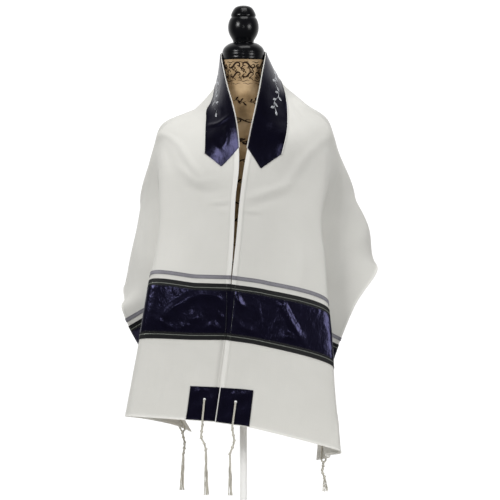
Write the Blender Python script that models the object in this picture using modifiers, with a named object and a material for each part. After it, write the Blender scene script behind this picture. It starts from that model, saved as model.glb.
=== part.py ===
"""A striped prayer shawl with knotted corner tassels, worn by a dress form on a slim stand.

Metres, +Z up. The shawl's front faces -Y. The origin is at the centre of the stand's underside.
"""
import math
from typing import NamedTuple

import bmesh
import bpy
import numpy as np
from mathutils import Matrix, Vector

# The shawl's flat cut
CLOTH_WIDTH = 0.510          # across, from the neck edge to the far edge
HALF_LENGTH = 1.018          # along, from the centre of the back to either hem
CLOTH_THICKNESS = 0.0015
SEAM_GAP = 0.0004            # between the cloth and what is sewn on it
TRIM_THICKNESS = 0.0010      # ribbons, satin bands and patches
SEAM_INSET = 0.0005          # half the gap between two ribbons side by side

# Distances up from each hem to the edges of what is sewn across the cloth
PATCH_SIDE = 0.085
LOWER_RIBBON_FOOT = 0.197
SATIN_FOOT = 0.213
SATIN_HEAD = 0.313
UPPER_RIBBON_HEAD = 0.329
GREY_FOOT = 0.340
GREY_HEAD = 0.350

# The neck band and its piping
BAND_HALF_LENGTH = 0.356     # from the centre of the back to a straight corner
BAND_POINT = 0.044           # how far a pointed end reaches past its corners
BAND_INSET = 0.0018          # from the neck edge and from the outer piping
PIPING_RADIUS = 0.0012
PIPING_SIDES = 6
PATCH_INSET = 0.0022

# Corner eyelets and tassels
EYELET_RADIUS = 0.0045
EYELET_UP = 0.052            # above the hem, half way across the patch
EYELET_SIDES = 10
CUTTER_DEPTH = 0.012
LOOP_RADIUS = 0.0016
LOOP_CLEARANCE = 0.0012      # between a loop and what it lies on
LOOP_OVERRUN = 0.002         # how far a loop's legs reach below the hem
LOOP_PART = 0.0006           # how far a loop's ends lie apart in the first knot
LOOP_CREST = 0.0014          # where a loop passes through, below the eyelet's centre
LOOP_TURN = 0.0030           # where it turns down, and how far out it is there
LOOP_LEAN = 0.8
LOOP_SHOULDER = 0.0075       # where it hangs straight
CORD_SIDES = 4
STRAND_RADIUS = 0.0007
STRAND_RING = 0.0024
STRANDS = 8
TASSEL_END = 0.068           # height of every tassel's tips
WINDING_RADIUS = 0.0021
KNOT_RADIUS = 0.0032
HEAD_SIDES = 6
HEAD_START = 0.0035          # how far the winding reaches past the first and the last knot
HEAD_FOOT = 0.004
WINDING_SHARES = (0.3, 0.7)
STRAND_ROOT = 0.0012         # how far from the head's middle a strand leaves it
STRAND_SHARES = (0.0, 0.10, 0.35, 0.68, 1.0)
STRAND_RIPPLE = 0.0006
STRAND_TURNS = 7.0           # radians of ripple from root to tip

# Folds in the far half of the cloth at the back
FLUTE_LENGTH = 0.157         # measured along the cloth
FLUTE_START = 0.12           # how far from the neck edge the flutes begin
FOLD_ROUNDNESS = 0.45
SECTION_STEPS = 14

# The dress form and its stand
NECK_CAP_FOOT = 1.1136
FORM_SIDES = 28
POLE_RADIUS = 0.009
BASE_RADIUS = 0.155
BASE_HEIGHT = 0.014
BASE_EDGE = 0.003
JOINT_GAP = 0.0003
TURN_STEPS = 20
POLE_SIDES = 16

COLLECTION = "prayer_shawl_on_form"


class Guide(NamedTuple):
    """One section across the cloth: where its guide lines lie at one distance along it."""
    run: float       # from the centre of the back
    edge: tuple      # neck edge, then front edge
    front: tuple     # outer fold of the front panel
    valley: tuple    # hidden fold behind the front panel
    wing: tuple      # cloth that hangs over the arm's place
    free: tuple      # far edge
    collar: tuple = ()    # outer edge of the neck band, where the cloth isn't straight from edge to front

    def points(self):
        """Give the six guide points from the neck edge to the far edge."""
        edge, front = np.array(self.edge), np.array(self.front)
        straight = edge + (front - edge) * PATCH_SIDE / np.linalg.norm(front - edge)
        collar = self.collar or tuple(straight)
        return self.edge, collar, self.front, self.valley, self.wing, self.free


CENTRE = Guide(0.0, (0, 0.062, 1.132), (0, 0.094, 1.020), (0, 0.116, 0.900),
               (0, 0.131, 0.770), (0, 0.142, 0.640), (0, 0.084, 1.050))

RIGHT = (
    Guide(0.060, (0.044, 0.038, 1.133), (0.066, 0.086, 1.024), (0.062, 0.110, 0.900),
          (0.052, 0.135, 0.770), (0.045, 0.146, 0.640), (0.060, 0.072, 1.060)),
    Guide(0.100, (0.0545, 0.000, 1.130), (0.106, 0.062, 1.030), (0.118, 0.100, 0.905),
          (0.100, 0.131, 0.770), (0.077, 0.146, 0.660), (0.0815, 0.052, 1.074)),
    Guide(0.154, (0.0475, -0.046, 1.085), (0.138, 0.016, 1.0195), (0.186, 0.062, 0.930),
          (0.172, 0.112, 0.785), (0.118, 0.142, 0.678), (0.0960, -0.0045, 1.035)),
    Guide(0.200, (0.040, -0.070, 1.042), (0.154, -0.018, 1.000), (0.2045, 0.010, 0.969),
          (0.232, 0.066, 0.806), (0.160, 0.132, 0.692), (0.0960, -0.0310, 1.004)),
    Guide(0.246, (0.031, -0.088, 0.998), (0.203, -0.020, 0.960), (0.226, 0.010, 0.912),
          (0.260, 0.045, 0.806), (0.198, 0.118, 0.686), (0.0985, -0.060, 0.968)),
    Guide(0.312, (0.018, -0.112, 0.938), (0.203, -0.036, 0.898), (0.230, -0.004, 0.852),
          (0.272, 0.030, 0.775), (0.246, 0.088, 0.636), (0.1005, -0.098, 0.921)),
    Guide(0.410, (0.001, -0.131, 0.845), (0.197, -0.060, 0.800), (0.196, -0.022, 0.750),
          (0.3005, 0.015, 0.697), (0.315, 0.043, 0.625), (0.083, -0.110, 0.829)),
    Guide(0.470, (-0.007, -0.134, 0.785), (0.1885, -0.074, 0.735), (0.168, -0.045, 0.695),
          (0.262, -0.012, 0.652), (0.3255, 0.008, 0.605), (0.076, -0.112, 0.771)),
    Guide(0.579, (-0.017, -0.1375, 0.677), (0.198, -0.086, 0.621), (0.128, -0.082, 0.590),
          (0.205, -0.046, 0.558), (0.272, -0.030, 0.522), (0.0625, -0.118, 0.664)),
    Guide(0.665, (-0.026, -0.139, 0.595), (0.2035, -0.095, 0.532), (0.118, -0.092, 0.500),
          (0.186, -0.062, 0.470), (0.2376, -0.045, 0.444), (0.0568, -0.123, 0.582)),
    Guide(0.750, (-0.0335, -0.1395, 0.510), (0.212, -0.104, 0.444), (0.128, -0.092, 0.412),
          (0.182, -0.062, 0.392), (0.213, -0.030, 0.376), (0.047, -0.127, 0.497)),
    Guide(0.821, (-0.0415, -0.139, 0.438), (0.2165, -0.110, 0.370), (0.147, -0.086, 0.345),
          (0.186, -0.050, 0.328), (0.196, 0.000, 0.312), (0.040, -0.130, 0.425)),
    Guide(0.932, (-0.0555, -0.1385, 0.328), (0.225, -0.116, 0.257), (0.180, -0.060, 0.243),
          (0.206, -0.020, 0.234), (0.186, 0.052, 0.222), (0.0280, -0.132, 0.320)),
    Guide(1.018, (-0.068, -0.138, 0.241), (0.234, -0.120, 0.170), (0.198, -0.062, 0.158),
          (0.209, -0.022, 0.151), (0.179, 0.055, 0.140), (0.0160, -0.133, 0.2285)),
)

LEFT = (
    Guide(0.060, (-0.044, 0.038, 1.131), (-0.062, 0.082, 1.020), (-0.062, 0.112, 0.900),
          (-0.050, 0.138, 0.770), (-0.040, 0.150, 0.638), (-0.055, 0.068, 1.052)),
    Guide(0.100, (-0.0545, 0.000, 1.127), (-0.095, 0.068, 1.010), (-0.112, 0.102, 0.900),
          (-0.094, 0.137, 0.770), (-0.065, 0.155, 0.660), (-0.066, 0.046, 1.057)),
    Guide(0.154, (-0.0475, -0.046, 1.082), (-0.120, 0.026, 0.993), (-0.168, 0.070, 0.912),
          (-0.152, 0.120, 0.780), (-0.100, 0.160, 0.674), (-0.0725, 0.004, 1.022)),
    Guide(0.200, (-0.038, -0.070, 1.042), (-0.142, -0.002, 0.984), (-0.200, 0.014, 0.955),
          (-0.222, 0.074, 0.804), (-0.142, 0.156, 0.694), (-0.0775, -0.0255, 0.995)),
    Guide(0.246, (-0.026, -0.088, 1.000), (-0.195, -0.016, 0.951), (-0.217, 0.012, 0.902),
          (-0.240, 0.062, 0.796), (-0.186, 0.144, 0.690), (-0.0825, -0.0480, 0.964)),
    Guide(0.312, (-0.0145, -0.112, 0.940), (-0.1965, -0.032, 0.915), (-0.222, -0.002, 0.862),
          (-0.248, 0.048, 0.772), (-0.222, 0.130, 0.658), (-0.0885, -0.0830, 0.917)),
    Guide(0.410, (-0.011, -0.131, 0.845), (-0.200, -0.058, 0.840), (-0.200, -0.020, 0.790),
          (-0.257, 0.030, 0.717), (-0.262, 0.098, 0.588), (-0.094, -0.108, 0.841)),
    Guide(0.470, (-0.018, -0.134, 0.785), (-0.2015, -0.070, 0.780), (-0.184, -0.040, 0.735),
          (-0.263, 0.008, 0.668), (-0.288, 0.069, 0.568)),
    Guide(0.579, (-0.0233, -0.135, 0.677), (-0.206, -0.084, 0.677), (-0.145, -0.084, 0.655),
          (-0.238, -0.040, 0.600), (-0.2895, 0.012, 0.531)),
    Guide(0.645, (-0.027, -0.1345, 0.613), (-0.2175, -0.092, 0.617), (-0.124, -0.090, 0.597),
          (-0.218, -0.056, 0.547), (-0.293, -0.028, 0.508)),
    Guide(0.665, (-0.0286, -0.134, 0.595), (-0.2215, -0.095, 0.600), (-0.120, -0.092, 0.580),
          (-0.210, -0.058, 0.533), (-0.2865, -0.028, 0.490)),
    Guide(0.750, (-0.030, -0.132, 0.510), (-0.237, -0.104, 0.513), (-0.132, -0.090, 0.492),
          (-0.202, -0.048, 0.452), (-0.250, 0.005, 0.418)),
    Guide(0.821, (-0.036, -0.130, 0.438), (-0.2495, -0.108, 0.438), (-0.182, -0.070, 0.422),
          (-0.228, -0.012, 0.392), (-0.214, 0.052, 0.358)),
    Guide(0.932, (-0.051, -0.1285, 0.328), (-0.2675, -0.112, 0.336), (-0.218, -0.048, 0.322),
          (-0.204, 0.022, 0.302), (-0.168, 0.092, 0.276)),
    Guide(1.018, (-0.055, -0.128, 0.241), (-0.281, -0.115, 0.255), (-0.238, -0.030, 0.245),
          (-0.169, 0.034, 0.227), (-0.128, 0.105, 0.207)),
)


class Flutes(NamedTuple):
    """Soft waves of the back on one side of its centre."""
    depth: float        # at the far edge
    fade_from: float    # where along the cloth they begin to die out
    fade_to: float


FLUTES = {"left": Flutes(0.026, 0.20, 0.36), "right": Flutes(0.022, 0.18, 0.34)}


class Girth(NamedTuple):
    """One level section of the dress form."""
    height: float
    half_width: float
    front: float
    back: float


FORM_GIRTHS = (
    Girth(1.1133, 0.0490, 0.0490, 0.0490),
    Girth(1.0600, 0.0480, 0.0490, 0.0500),
    Girth(1.0300, 0.0520, 0.0510, 0.0560),
    Girth(1.0080, 0.0620, 0.0500, 0.0620),
    Girth(0.9850, 0.0900, 0.0490, 0.0680),
    Girth(0.9600, 0.1300, 0.0510, 0.0760),
    Girth(0.9350, 0.1600, 0.0590, 0.0850),
    Girth(0.9000, 0.1760, 0.0740, 0.0910),
    Girth(0.8450, 0.1660, 0.0960, 0.0920),
    Girth(0.7900, 0.1500, 0.1030, 0.0880),
    Girth(0.7200, 0.1340, 0.0940, 0.0790),
    Girth(0.6600, 0.1200, 0.0850, 0.0760),
    Girth(0.6000, 0.1220, 0.0860, 0.0820),
    Girth(0.5200, 0.1420, 0.0960, 0.0970),
    Girth(0.4400, 0.1520, 0.1020, 0.1050),
    Girth(0.3700, 0.1500, 0.1000, 0.1030),
    Girth(0.3400, 0.1430, 0.0940, 0.0970),
)


class TurnedPoint(NamedTuple):
    """One point of a turned outline."""
    radius: float
    height: float


NECK_CAP_OUTLINE = (
    TurnedPoint(0.0240, 1.1560), TurnedPoint(0.0340, 1.1530), TurnedPoint(0.0430, 1.1470),
    TurnedPoint(0.0495, 1.1395), TurnedPoint(0.0512, 1.1330), TurnedPoint(0.0512, NECK_CAP_FOOT),
)

FINIAL_OUTLINE = (
    TurnedPoint(0.0110, 1.2450), TurnedPoint(0.0200, 1.2415), TurnedPoint(0.0262, 1.2340),
    TurnedPoint(0.0300, 1.2255), TurnedPoint(0.0303, 1.2215), TurnedPoint(0.0294, 1.2180),
    TurnedPoint(0.0330, 1.2130), TurnedPoint(0.0362, 1.2040), TurnedPoint(0.0373, 1.1935),
    TurnedPoint(0.0358, 1.1810), TurnedPoint(0.0305, 1.1685), TurnedPoint(0.0262, 1.1610),
    TurnedPoint(0.0250, 1.1563),
)


class Corner(NamedTuple):
    """One knotted tassel: its corner of the cloth, and how its wound head and its strands hang."""
    name: str
    side: str
    rear: bool
    knot_drop: float     # from the hem down to the first knot
    head_length: float
    sway: tuple          # sideways steps of the head, from the knot down
    spread: float        # how far the strands part at their tips
    drift: float         # how far the tips hang to the side of the head


CORNERS = (
    Corner("front_left", "left", False, 0.010, 0.058, (0.000, -0.002, -0.003, 0.004, 0.008), 0.0050, 0.001),
    Corner("front_right", "right", False, 0.010, 0.058, (0.000, 0.002, 0.004, 0.000, -0.006), 0.0040, 0.001),
    Corner("rear_left", "left", True, 0.010, 0.052, (0.000, 0.002, 0.005, 0.004, 0.002), 0.0050, -0.004),
    Corner("rear_right", "right", True, 0.008, 0.036, (0.000, -0.001, -0.003, -0.002, 0.002), 0.0060, 0.002),
)


def smooth_step(value):
    """Ease from 0 to 1 as value goes from 0 to 1."""
    held = np.clip(value, 0.0, 1.0)
    return held * held * (3.0 - 2.0 * held)


def unit(vector):
    """Give a vector's direction."""
    return vector / np.linalg.norm(vector)


def guide_rows():
    """Put both sides' sections in one row from the left hem to the right hem."""
    rows = [(-row.run, row.points()) for row in reversed(LEFT)]
    rows.append((CENTRE.run, CENTRE.points()))
    rows.extend((row.run, row.points()) for row in RIGHT)
    runs = np.array([run for run, _ in rows])
    points = np.array([guides for _, guides in rows], dtype=float)
    return runs, points


def guides_at(run, runs, points):
    """Read the six guide points at one distance along the cloth, on a smooth curve through the rows."""
    slopes = np.gradient(points, runs, axis=0)
    index = int(np.clip(np.searchsorted(runs, run) - 1, 0, len(runs) - 2))
    span = runs[index + 1] - runs[index]
    t = (run - runs[index]) / span
    start = (2 * t**3 - 3 * t**2 + 1) * points[index] + (t**3 - 2 * t**2 + t) * span * slopes[index]
    end = (-2 * t**3 + 3 * t**2) * points[index + 1] + (t**3 - t**2) * span * slopes[index + 1]
    return start + end


def section_curve(guides):
    """Draw a section as a rounded curve through its guide points.

    Returns the curve's points, the distance along it at each, and the distance at each guide point.
    """
    steps = np.diff(guides, axis=0)
    lengths = np.linalg.norm(steps, axis=1)
    ways = steps / lengths[:, None]
    tangents = [steps[0]]
    for index in range(1, len(guides) - 1):
        reach = FOLD_ROUNDNESS * 2.0 * min(lengths[index - 1], lengths[index])
        tangents.append(unit(ways[index - 1] + ways[index]) * reach)
    tangents.append(steps[-1])
    t = np.linspace(0.0, 1.0, SECTION_STEPS + 1)[:, None]
    curve = [guides[:1]]
    for index, (near, far) in enumerate(zip(guides[:-1], guides[1:])):
        part = ((2 * t**3 - 3 * t**2 + 1) * near + (t**3 - 2 * t**2 + t) * tangents[index]
                + (-2 * t**3 + 3 * t**2) * far + (t**3 - t**2) * tangents[index + 1])
        curve.append(part[1:])
    curve = np.concatenate(curve)
    along = np.concatenate([[0.0], np.cumsum(np.linalg.norm(np.diff(curve, axis=0), axis=1))])
    return curve, along, along[::SECTION_STEPS]


class Lattice:
    """The cloth's outer face as rows across it and columns along it."""

    BAND_COLUMNS = 4
    FRONT_SHARES = (0.30, 0.56, 0.76, 0.90, 1.0)
    VALLEY_SHARES = (0.12, 0.36, 0.64, 0.88, 1.0)
    WING_SHARES = (0.14, 0.42, 0.70, 1.0)
    REAR_COLUMNS = 3

    def __init__(self):
        self.runs = self.row_runs()
        guide_runs, guide_points = guide_rows()
        rows = [self.row(run, guide_runs, guide_points) for run in self.runs]
        self.points = np.array([row for row, _ in rows])
        self.across = np.array([across for _, across in rows])
        self.add_flutes()
        self.normals = self.face_normals()

    @staticmethod
    def row_runs():
        """List the distances of the rows, with one on every seam that crosses the cloth."""
        marks = ((0.0, 14), (BAND_HALF_LENGTH, 1), (BAND_HALF_LENGTH + BAND_POINT / 2, 1),
                 (BAND_HALF_LENGTH + BAND_POINT, 9), (HALF_LENGTH - GREY_HEAD, 1),
                 (HALF_LENGTH - GREY_FOOT, 1), (HALF_LENGTH - UPPER_RIBBON_HEAD, 1),
                 (HALF_LENGTH - SATIN_HEAD, 4), (HALF_LENGTH - SATIN_FOOT, 1),
                 (HALF_LENGTH - LOWER_RIBBON_FOOT, 4), (HALF_LENGTH - PATCH_SIDE, 3), (HALF_LENGTH, 0))
        side = []
        for (start, count), (end, _) in zip(marks[:-1], marks[1:]):
            side.extend(start + (end - start) * step / count for step in range(count))
        side.append(HALF_LENGTH)
        return np.array([-run for run in reversed(side[1:])] + side)

    def row(self, run, guide_runs, guide_points):
        """Work out one row's points, and how far across the cloth each lies."""
        curve, along, marks = section_curve(guides_at(run, guide_runs, guide_points))
        scale = along[-1] / CLOTH_WIDTH
        band = PATCH_SIDE * scale
        places = [band * column / self.BAND_COLUMNS for column in range(self.BAND_COLUMNS + 1)]
        front, valley, wing, free = marks[2:]
        places.extend(band + (front - band) * share for share in self.FRONT_SHARES)
        places.extend(front + (valley - front) * share for share in self.VALLEY_SHARES)
        places.extend(valley + (wing - valley) * share for share in self.WING_SHARES)
        places.extend(wing + (free - wing) * (step + 1) / self.REAR_COLUMNS
                      for step in range(self.REAR_COLUMNS))
        points = np.stack([np.interp(places, along, curve[:, axis]) for axis in range(3)], axis=1)
        return points, np.array(places) / scale

    def face_normals(self):
        """Give the direction out of the cloth's outer face at every point."""
        along = np.gradient(self.points, axis=0)
        across = np.gradient(self.points, axis=1)
        normals = np.cross(along, across)
        return normals / np.linalg.norm(normals, axis=2, keepdims=True)

    def add_flutes(self):
        """Wave the far half of the back, deepest at the far edge."""
        normals = self.face_normals()
        rise = smooth_step((self.across - FLUTE_START) / (CLOTH_WIDTH - FLUTE_START))
        for index, run in enumerate(self.runs):
            side = FLUTES["left" if run < 0 else "right"]
            fade = 1.0 - smooth_step((abs(run) - side.fade_from) / (side.fade_to - side.fade_from))
            wave = side.depth * fade * math.cos(2.0 * math.pi * run / FLUTE_LENGTH)
            self.points[index] += normals[index] * (rise[index] * wave)[:, None]

    def row_at(self, run):
        """Find the row that lies at a distance along the cloth."""
        return int(np.argmin(np.abs(self.runs - run)))

    def columns(self):
        """Count the columns."""
        return self.points.shape[1]

    def spot(self, row, column):
        """Read the outer face's place and normal between rows and columns."""
        i, j = int(row), int(column)
        u, v = row - i, column - j
        weights = ((i, j, (1 - u) * (1 - v)), (i + 1, j, u * (1 - v)),
                   (i, j + 1, (1 - u) * v), (i + 1, j + 1, u * v))
        place = sum(self.points[a, b] * w for a, b, w in weights)
        normal = unit(sum(self.normals[a, b] * w for a, b, w in weights))
        return place, normal


def finish(name, hex_colour, roughness, metallic=0.0):
    """Make a plain material."""
    material = bpy.data.materials.new(name)
    material.use_nodes = True
    shader = material.node_tree.nodes["Principled BSDF"]
    channels = [int(hex_colour[start:start + 2], 16) / 255.0 for start in (0, 2, 4)]
    linear = [c / 12.92 if c <= 0.04045 else ((c + 0.055) / 1.055) ** 2.4 for c in channels]
    shader.inputs["Base Color"].default_value = (*linear, 1.0)
    shader.inputs["Roughness"].default_value = roughness
    shader.inputs["Metallic"].default_value = metallic
    material.diffuse_color = (*linear, 1.0)
    return material


class Workshop:
    """Adds finished pieces to the object's collection, and cutters to another."""

    def __init__(self):
        for old in list(bpy.data.objects):
            bpy.data.objects.remove(old, do_unlink=True)
        self.pieces = self.collection(COLLECTION)
        self.tools = self.collection("cutters")

    @staticmethod
    def collection(name):
        """Make a collection in the scene."""
        made = bpy.data.collections.new(name)
        bpy.context.scene.collection.children.link(made)
        return made

    def piece(self, name, mesh, material, smooth_angle=math.radians(60)):
        """Add one piece of the object."""
        made = bpy.data.objects.new(name, mesh)
        mesh.materials.append(material)
        mesh.shade_smooth()
        mesh.set_sharp_from_angle(angle=smooth_angle)
        self.pieces.objects.link(made)
        return made

    def cutter(self, name, mesh):
        """Add one cutter or joined-on shape."""
        made = bpy.data.objects.new(name, mesh)
        made.hide_render = True
        made.display_type = "WIRE"
        self.tools.objects.link(made)
        return made

    def combine(self, piece, tool, operation):
        """Cut a tool out of a piece, or join it on."""
        modifier = piece.modifiers.new(tool.name, "BOOLEAN")
        modifier.object = tool
        modifier.operation = operation
        modifier.solver = "EXACT"
        modifier.use_self = operation == "UNION"


def cell_faces(i, j):
    """Split the cell past a lattice point in two, along the same diagonal on every sheet."""
    return (((i, j), (i + 1, j), (i + 1, j + 1)), ((i, j), (i + 1, j + 1), (i, j + 1)))


def grid_mesh(name, points):
    """Make an open sheet from rows of points."""
    rows, columns = points.shape[:2]
    faces = [[a * columns + b for a, b in face]
             for i in range(rows - 1) for j in range(columns - 1) for face in cell_faces(i, j)]
    mesh = bpy.data.meshes.new(name)
    mesh.from_pydata(points.reshape(-1, 3).tolist(), [], faces)
    return mesh


def wall_mesh(name, inner, outer):
    """Make a closed wall between two matching sheets of points."""
    rows, columns = inner.shape[:2]
    far, last, side = rows * columns, rows - 1, columns - 1

    def ring(corners):
        return tuple((far if outside else 0) + i * columns + j for i, j, outside in corners)

    faces = []
    for i in range(last):
        for j in range(side):
            for face in cell_faces(i, j):
                faces.append(ring([(*corner, True) for corner in face]))
                faces.append(ring([(*corner, False) for corner in reversed(face)]))
        faces.append(ring(((i + 1, 0, True), (i, 0, True), (i, 0, False), (i + 1, 0, False))))
        faces.append(ring(((i, side, True), (i + 1, side, True), (i + 1, side, False), (i, side, False))))
    for j in range(side):
        faces.append(ring(((0, j, True), (0, j + 1, True), (0, j + 1, False), (0, j, False))))
        faces.append(ring(((last, j + 1, True), (last, j, True), (last, j, False), (last, j + 1, False))))
    mesh = bpy.data.meshes.new(name)
    mesh.from_pydata([*inner.reshape(-1, 3).tolist(), *outer.reshape(-1, 3).tolist()], [], faces)
    return mesh


def thicken(piece, thickness, offset):
    """Turn an open sheet into a wall."""
    wall = piece.modifiers.new("wall", "SOLIDIFY")
    wall.thickness = thickness
    wall.offset = offset


def drawn_in(points, amount, axis, start=True, end=True):
    """Pull the outermost rows or columns in towards their neighbours, along the facets."""
    moved = np.swapaxes(points.copy(), 0, axis)
    for wanted, edge, inner in ((start, 0, 1), (end, -1, -2)):
        if wanted:
            way = moved[inner] - moved[edge]
            moved[edge] += way / np.linalg.norm(way, axis=-1, keepdims=True) * amount
    return np.swapaxes(moved, 0, axis)


def sewn_sheet(shop, lattice, name, rows, columns, insets, material):
    """Sew a sheet on the cloth's outer face, over a range of rows and columns of the lattice."""
    row_slice = slice(rows[0], rows[1] + 1)
    column_slice = slice(columns[0], columns[1] + 1)
    faces = []
    for lift in (SEAM_GAP, SEAM_GAP + TRIM_THICKNESS):
        lifted = (lattice.points + lattice.normals * lift)[row_slice, column_slice]
        faces.append(drawn_in(drawn_in(lifted, insets[0], 0), insets[1], 1))
    return shop.piece(name, wall_mesh(name, *faces), material)


def tube_mesh(name, points, radii, sides):
    """Make a round-ended tube along points, with a radius at each."""
    curve = bpy.data.curves.new(name, "CURVE")
    curve.dimensions = "3D"
    curve.bevel_depth = 1.0
    curve.bevel_resolution = (sides - 4) // 2
    curve.use_fill_caps = True
    spline = curve.splines.new("POLY")
    spline.points.add(len(points) - 1)
    for place, point, radius in zip(spline.points, points, radii):
        place.co = (*point, 1.0)
        place.radius = radius
    guide = bpy.data.objects.new(name + "_guide", curve)
    bpy.context.scene.collection.objects.link(guide)
    mesh = bpy.data.meshes.new_from_object(guide.evaluated_get(bpy.context.evaluated_depsgraph_get()))
    bpy.data.objects.remove(guide, do_unlink=True)
    work = bmesh.new()
    work.from_mesh(mesh)
    bmesh.ops.remove_doubles(work, verts=work.verts, dist=1e-6)
    bmesh.ops.recalc_face_normals(work, faces=work.faces)
    work.to_mesh(mesh)
    work.free()
    return mesh


def joined_mesh(name, meshes):
    """Gather several meshes in one."""
    work = bmesh.new()
    for mesh in meshes:
        work.from_mesh(mesh)
    made = bpy.data.meshes.new(name)
    work.to_mesh(made)
    work.free()
    return made


def turned_mesh(name, outline):
    """Turn an outline about the upright axis, closed by flat ends."""
    heights = [outline[0].height, *(point.height for point in outline), outline[-1].height]
    radii = [0.0, *(point.radius for point in outline), 0.0]
    mesh = bpy.data.meshes.new(name)
    places = [(radius, 0.0, height) for radius, height in zip(radii, heights)]
    mesh.from_pydata(places, [(i, i + 1) for i in range(len(places) - 1)], [])
    return mesh


def turn(piece):
    """Screw an outline round the upright axis."""
    screw = piece.modifiers.new("turned", "SCREW")
    screw.axis = "Z"
    screw.steps = TURN_STEPS
    screw.render_steps = TURN_STEPS
    screw.use_merge_vertices = True
    screw.merge_threshold = 0.0001


def add_cloth(shop, lattice, cutters):
    """Make the shawl's cloth with its four eyelet holes."""
    sheet = grid_mesh("shawl_cloth", lattice.points)
    cloth = shop.piece("shawl_cloth", sheet, finish("white_cloth", "E6E5E1", 0.85))
    thicken(cloth, CLOTH_THICKNESS, -1.0)
    for cutter in cutters.values():
        shop.combine(cloth, cutter, "DIFFERENCE")


def add_ribbons(shop, lattice):
    """Sew the grey ribbon, the two black ribbons and the satin band across each end."""
    grey = finish("grey_ribbon", "77767A", 0.5)
    black = finish("black_ribbon", "14161A", 0.45)
    satin = finish("navy_satin", "1A1830", 0.3)
    strips = (("ribbon_grey", GREY_FOOT, GREY_HEAD, grey),
              ("ribbon_upper", SATIN_HEAD, UPPER_RIBBON_HEAD, black),
              ("band_satin", SATIN_FOOT, SATIN_HEAD, satin),
              ("ribbon_lower", LOWER_RIBBON_FOOT, SATIN_FOOT, black))
    for side, sign in (("left", -1), ("right", 1)):
        for name, foot, head, material in strips:
            ends = sorted(lattice.row_at(sign * (HALF_LENGTH - up)) for up in (foot, head))
            sewn_sheet(shop, lattice, f"{side}_{name}", ends, (0, lattice.columns() - 1),
                       (SEAM_INSET, SEAM_INSET), material)


def add_neck_band(shop, lattice):
    """Sew the satin band with pointed ends along the neck edge, and pipe both of its long edges."""
    first = lattice.row_at(-BAND_HALF_LENGTH)
    last = lattice.row_at(BAND_HALF_LENGTH)
    outer = lattice.BAND_COLUMNS
    middle = outer // 2
    lifted = lattice.points + lattice.normals * SEAM_GAP
    rows = list(range(first - middle, last + middle + 1))
    points = drawn_in(lifted[rows[0]:rows[-1] + 1, :outer + 1], BAND_INSET, 1)
    width = outer + 1
    faces = []
    for i, row in enumerate(rows[:-1]):
        past = max(first - row, row + 1 - last, 0)
        for j in range(past, outer - past):
            faces.extend([a * width + b for a, b in face] for face in cell_faces(i, j))
        if past:
            near, far = (i, i + 1) if row >= last else (i + 1, i)
            for inner, tip in ((past - 1, past), (outer - past + 1, outer - past)):
                triangle = [(near, inner), (far, tip), (near, tip)]
                if (inner < tip) != (row >= last):
                    triangle.reverse()
                faces.append([a * width + b for a, b in triangle])
    mesh = bpy.data.meshes.new("neck_band")
    mesh.from_pydata(points.reshape(-1, 3).tolist(), [], faces)
    trim_loose(mesh)
    band = shop.piece("neck_band", mesh, finish("band_satin", "191730", 0.3))
    thicken(band, TRIM_THICKNESS, 1.0)
    white = finish("white_piping", "EDEDEB", 0.6)
    span = slice(first, last + 1)
    way = lattice.points[span, 1] - lattice.points[span, 0]
    way /= np.linalg.norm(way, axis=1, keepdims=True)
    inner_path = (lattice.points[span, 0] - way * (PIPING_RADIUS + SEAM_GAP)
                  - lattice.normals[span, 0] * CLOTH_THICKNESS / 2)
    outer_path = lattice.points[span, outer] + lattice.normals[span, outer] * (PIPING_RADIUS + SEAM_GAP)
    for name, path in (("neck_piping_inner", inner_path), ("neck_piping_outer", outer_path)):
        shop.piece(name, tube_mesh(name, path, [PIPING_RADIUS] * len(path), PIPING_SIDES), white)


def trim_loose(mesh):
    """Drop the points that no face uses."""
    work = bmesh.new()
    work.from_mesh(mesh)
    bmesh.ops.delete(work, geom=[point for point in work.verts if not point.link_faces], context="VERTS")
    work.to_mesh(mesh)
    work.free()


def eyelet_spots(lattice):
    """Find the four eyelets' places and normals, and the hem below each."""
    spots = {}
    for corner in CORNERS:
        sign = -1 if corner.side == "left" else 1
        target = sign * (HALF_LENGTH - EYELET_UP)
        row = float(np.interp(target, lattice.runs, np.arange(len(lattice.runs))))
        hem = len(lattice.runs) - 1.0001 if sign > 0 else 0.0
        last = lattice.columns() - 1
        column = last - lattice.REAR_COLUMNS / 2 if corner.rear else lattice.BAND_COLUMNS / 2
        place, normal = lattice.spot(row, column)
        foot, _ = lattice.spot(hem, column)
        spots[corner.name] = (place, normal, foot)
    return spots


def add_eyelet_cutters(shop, spots):
    """Place a round cutter through each eyelet."""
    cutters = {}
    for name, (place, normal, _) in spots.items():
        mesh = bpy.data.meshes.new(f"eyelet_{name}")
        work = bmesh.new()
        bmesh.ops.create_cone(work, cap_ends=True, segments=EYELET_SIDES, radius1=EYELET_RADIUS,
                              radius2=EYELET_RADIUS, depth=CUTTER_DEPTH)
        work.to_mesh(mesh)
        work.free()
        cutter = shop.cutter(f"eyelet_{name}", mesh)
        turn_to = Vector((0, 0, 1)).rotation_difference(Vector(normal)).to_matrix().to_4x4()
        cutter.matrix_world = Matrix.Translation(Vector(place)) @ turn_to
        cutters[name] = cutter
    return cutters


def add_patches(shop, lattice, cutters):
    """Sew a satin patch on each corner, with its eyelet."""
    last = lattice.columns() - 1
    satin = finish("patch_satin", "1B1930", 0.3)
    for corner in CORNERS:
        sign = -1 if corner.side == "left" else 1
        rows = sorted((lattice.row_at(sign * (HALF_LENGTH - PATCH_SIDE)), lattice.row_at(sign * HALF_LENGTH)))
        columns = (last - lattice.REAR_COLUMNS, last) if corner.rear else (0, lattice.BAND_COLUMNS)
        insets = (PATCH_INSET, PATCH_INSET)
        patch = sewn_sheet(shop, lattice, f"patch_{corner.name}", rows, columns, insets, satin)
        shop.combine(patch, cutters[corner.name], "DIFFERENCE")


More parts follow.
